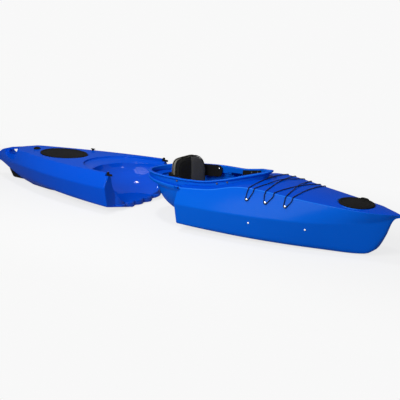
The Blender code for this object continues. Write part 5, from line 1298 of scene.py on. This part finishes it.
def webbing(name, path, width, thick):
    # Flat strap across X: a rounded oblong section carried along the path
    up = unit(np.cross(unit(np.gradient(path, axis=0)), (1.0, 0.0, 0.0)))
    a = angles(12)
    wide = np.sign(np.cos(a)) * np.abs(np.cos(a)) ** 0.35 * width / 2
    tall = np.sin(a) * thick / 2
    rings = path[:, None] + rows3(wide, 0.0, 0.0)[None] + up[:, None] * tall[None, :, None]
    return smooth(lofted(name, rings, strapCloth), 50.0)


strap = {"high": 0.315, "low": 0.163, "behind": 0.0255, "grow": 0.0052, "width": 0.013, "thick": 0.0016,
         "buckleLong": 0.011, "buckleTall": 0.010, "buckleSoft": 0.0012}
# Behind the pad's front, outside its outline, radius, cloth
piping = {"pipingFront": (0.0080, -0.0035, 0.0032, edgeCloth),
          "pipingRear": (0.0335, -0.0030, 0.0020, strapCloth)}


def sideStraps():
    # A light strap lies on each side gusset, from the edge of the pad down to a buckle at its lower corner
    for side, tag in ((1, "Left"), (-1, "Right")):
        y, z = backrestOutline(strap["grow"], 200)
        keep = (y * side > 0) & (z < strap["high"]) & (z > strap["low"])
        order = np.argsort(-z[keep])
        path = rows3(padFront - strap["behind"], y[keep][order], z[keep][order])[::2]
        placed(webbing(f"sideStrap{tag}", path, strap["width"], strap["thick"]), "backrest")
        x, y, z = path[len(path) // 3]
        long, tall = strap["buckleLong"], strap["buckleTall"]
        buckle = prism(f"strapBuckle{tag}", [(x - long, z - tall), (x + long, z - tall), (x + long, z + tall),
                                             (x - long, z + tall)],
                       *sorted((y + side * 0.0003, y + side * 0.0045)), 1, blackPlastic)
        placed(softened(buckle, strap["buckleSoft"]), "backrest")


backrestPad()
for name, (behind, grow, radius, paint) in piping.items():
    placed(tube(name, rows3(padFront - behind, *backrestOutline(grow, 180)), radius, 8, paint), "backrest")
backrestShell()
for tag in ("left", "right"):
    dressed(f"backrestArm_{tag}", f"backrest_arm_{tag}", "backrest", 0.0015)
sideStraps()
print("backrest ready")


# Seat: cushion with three sewn channels on its pan

seat = {"waist": 0.022, "front": 0.265, "half": 0.165, "corner": 0.055, "clear": 0.006, "pan": 0.010, "pad": 0.045,
        "inner": 0.97, "swell": 0.005, "voxel": 0.0055, "groove": 0.0055, "middleWidth": 0.007, "sideWidth": 0.006,
        "panel": 0.085, "crossSeam": 0.150, "crossDepth": 0.8}


def seatOutline(inset):
    # Half ellipse in the bulge, widening ahead of it to a rectangle with round corners; port half mirrored
    length, width = (float(v) for v in bulgeSize(bulge["floor"]))
    waist = width - hull["wall"] - seat["clear"]
    back = seat["waist"] + length - hull["wall"] - seat["clear"]
    a = np.linspace(0, math.pi / 2, 28)
    rear = np.stack([seat["waist"] - (back - inset) * np.cos(a), (waist - inset) * np.sin(a)], 1)
    s = np.linspace(0, 1, 10)[1:]
    side = np.stack([seat["waist"] + 0.012 + 0.05 * s,
                     between(waist, seat["half"], (1 - np.cos(math.pi * s)) / 2) - inset], 1)
    t = np.radians(np.linspace(90, 0, 12))
    nose = np.stack([seat["front"] - seat["corner"] + (seat["corner"] - inset) * np.cos(t),
                     seat["half"] - seat["corner"] + (seat["corner"] - inset) * np.sin(t)], 1)
    port = np.concatenate([rear, side, nose])
    return np.concatenate([port, port[:0:-1] * (1, -1)]) + (jointX, 0.0)


def seatPad():
    # Rings of the outline: flat below, upright at the side, then a crown that falls off with the cube of the share
    low = bulge["floor"] + hull["wall"] + 0.0006 + seat["pan"] + seatGap
    plan = seatOutline(0.004)
    centre = np.array([jointX + seat["waist"] + 0.03, 0.0])
    top = low + 0.020
    levels = [(0.05, low), (0.5, low), (0.975, low), (0.995, low + 0.004), (1.0, low + 0.012)]
    levels += [(s, top + (seat["pad"] - 0.026) * math.sqrt(1 - s ** 3))
               for s in (0.99, 0.97, 0.93, 0.87, 0.78, 0.66, 0.52, 0.36, 0.20, 0.06)]
    rings = [rows3(*(centre + (plan - centre) * share * seat["inner"]).T, z) for share, z in levels]
    pad = lofted("seatPad", rings, seatAndShadedBackrestCloth)
    pad.data.materials.append(seatAndLitBackrestCloth)
    puffed(pad, seat, 2, low)

    def channels(points):  # three grooves along and one across add up, to the full depth at most
        y = points[:, 1]
        sunk = groove(y, seat["middleWidth"]) + groove(np.abs(y) - seat["panel"], seat["sideWidth"])
        sunk += seat["crossDepth"] * groove(points[:, 0] - jointX - seat["crossSeam"], seat["sideWidth"])
        return seat["groove"] * np.minimum(sunk, 1.0)
    sewn(pad, 2, channels, lambda centre, normal: (np.abs(centre[:, 1]) < seat["panel"]) & (normal[:, 2] > 0.5))
    placed(pad, bow, "seat_pad")


seatPad()
dressed("seatPan", "seat_base", bow, 0.0015)
print("seat ready")


# Small rigid fittings

for tag in ("left", "right"):
    dressed(f"thighBrace_{tag}", f"thigh_brace_{tag}", bow, 0.0011)
    dressed(f"footPedal_{tag}", f"foot_pedal_{tag}", f"foot_pedal_{tag}", 0.0012)
    dressed(f"latchHook_{tag}", f"latch_hook_{tag}", f"latch_hook_{tag}", 0.0010)
    for name, paint in (("foot_rail", alloy), ("latch_keeper", darkSteel), ("latch_pin", darkSteel)):
        nodes[f"{name}_{tag}"].material_slots[0].material = paint
nodes["skeg_pin"].material_slots[0].material = steel
dressed("skegFin", "skeg", "skeg", 0.0016)
dressed("lineCleat", "skeg_line_cleat", stern, 0.0012)

plug = {"u": 0.974, "radius": 0.025, "height": 0.014, "rim": 0.0055, "lobes": 10, "lobeDepth": 0.045}


def drainPlug():
    # Round plug; the grip's radius waves round it, so it can be turned by hand
    radius = plug["radius"]
    place = Matrix.Translation((sternAt(plug["u"]), 0.0, float(deckHeight(sternLines, plug["u"], 0.0))))
    rows = roundedProfile([(0.4 * radius, -0.016), (0.4 * radius, seatGap), (radius, seatGap),
                           (radius, plug["rim"]), (0.92 * radius, 0.0085), (0.60 * radius, 0.0092),
                           (0.56 * radius, plug["height"]), (0.1 * radius, plug["height"])], 0.0012)
    a = angles(80)
    r, z = rows[:, :1], rows[:, 1:]
    grip = 1 - plug["lobeDepth"] * np.clip((z - 0.0088) / 0.002, 0, 1) * (1 + np.cos(plug["lobes"] * a))
    made = lofted("drainPlugBody", moved(rows3(r * grip * np.cos(a), r * grip * np.sin(a), z), place), hatchRubber)
    placed(smooth(made, 38.0), "drain_plug", "drain_plug")


drainPlug()
print("fittings ready")


# Camera at the photograph's viewing place, lamps, world and floor

view = {"place": (3.9543, -5.1318, 1.7639), "azimuth": 35.9392, "down": 14.5503, "roll": 1.2679, "lens": 89.9865}
# Place, target, diameter, power
lights = {"key": ((0.2, -3.6, 2.4), (0.1, 0.0, 0.2), 2.6, 132.0),
          "top": ((-0.57, -0.48, 3.2), (-0.3, 0.0, 0.2), 0.36, 31.0),
          "front": ((3.2, -2.0, 1.9), (0.2, 0.0, 0.25), 0.5, 15.0)}
studio = {"fill": (0.95, 0.97, 1.0), "fillStrength": 0.22, "seen": (0.94, 0.94, 0.94),
          "bounce": (0.42, 0.42, 0.42), "floorHalf": 40.0, "shadowShare": 0.80, "shadowNear": 0.5,
          "shadowFar": 1.6, "shadowOval": (0.45, 1.0, 1.0)}


def addCamera():
    # The sight line from the azimuth and the angle down; right and up are turned about it by the roll
    azimuth, down, roll = (math.radians(view[key]) for key in ("azimuth", "down", "roll"))
    ahead = Vector((-math.sin(azimuth) * math.cos(down), math.cos(azimuth) * math.cos(down), -math.sin(down)))
    right = Vector((math.cos(azimuth), math.sin(azimuth), 0.0))
    up = right.cross(ahead)
    c, s = math.cos(roll), math.sin(roll)
    turn = Matrix((c * right + s * up, c * up - s * right, -ahead)).transposed().to_4x4()
    data = bpy.data.cameras.new("photoCamera")
    data.lens = view["lens"]
    data.sensor_width = 36.0
    made = linked("photoCamera", data)
    made.matrix_world = Matrix.Translation(view["place"]) @ turn
    bpy.context.scene.camera = made


def addLamp(name, place, target, size, power):  # a round area lamp, turned to face its target
    data = bpy.data.lights.new(name, "AREA")
    data.shape = "ELLIPSE"
    data.size = data.size_y = size
    data.energy = power
    turn = (Vector(target) - Vector(place)).to_track_quat("-Z", "Y").to_matrix().to_4x4()
    linked(name, data).matrix_world = Matrix.Translation(place) @ turn


def emptied(owner):  # the owner's node tree without its first nodes
    owner.use_nodes = True
    owner.node_tree.nodes.clear()
    return owner.node_tree


def seenDirectly(tree):  # 1 for what the camera sees directly, in a reflection or through glass
    path = node(tree, "ShaderNodeLightPath").outputs
    return maths(tree, "MAXIMUM", maths(tree, "MAXIMUM", path["Is Camera Ray"], path["Is Glossy Ray"]),
                 path["Is Transmission Ray"])


def addWorld():  # a pale backdrop where it is seen directly, a weak fill for what it lights
    world = bpy.data.worlds.new("paleStudio")
    tree = emptied(world)
    fill = node(tree, "ShaderNodeBackground", {"Color": studio["fill"], "Strength": studio["fillStrength"]})
    seen = node(tree, "ShaderNodeBackground", {"Color": studio["seen"], "Strength": 1.0})
    mix = node(tree, "ShaderNodeMixShader", {0: seenDirectly(tree), 1: fill.outputs[0], 2: seen.outputs[0]})
    node(tree, "ShaderNodeOutputWorld", {"Surface": mix.outputs[0]})
    bpy.context.scene.world = world


def addFloor():
    # White where the camera sees it, but for a share near the kayak that keeps the shadow. Bounced light sees a
    # darker floor
    square = np.array([(-1, -1, 0), (1, -1, 0), (1, 1, 0), (-1, 1, 0)]) * studio["floorHalf"]
    made = meshObject("floor", square, [(0, 1, 2, 3)])
    made.location.z = -0.0005
    paint = bpy.data.materials.new("paleFloor")
    tree = emptied(paint)
    seen = seenDirectly(tree)
    oval = stretched(tree, objectAt(tree), studio["shadowOval"])
    away = node(tree, "ShaderNodeVectorMath", {0: oval}, operation="LENGTH").outputs["Value"]
    lit = node(tree, "ShaderNodeBsdfDiffuse", {"Color": mixed(tree, seen, studio["bounce"], studio["seen"])})
    glow = node(tree, "ShaderNodeEmission", {"Color": studio["seen"]})
    share = maths(tree, "MULTIPLY", seen, remap(tree, away, studio["shadowNear"], studio["shadowFar"],
                                                studio["shadowShare"], 1.0))
    mix = node(tree, "ShaderNodeMixShader", {0: share, 1: lit.outputs[0], 2: glow.outputs[0]})
    node(tree, "ShaderNodeOutputMaterial", {"Surface": mix.outputs[0]})
    made.data.materials.append(paint)


addCamera()
for lampName, lampFacts in lights.items():
    addLamp(lampName, *lampFacts)
addWorld()
addFloor()
bpy.context.scene.view_settings.view_transform = "Standard"
print("stage ready")
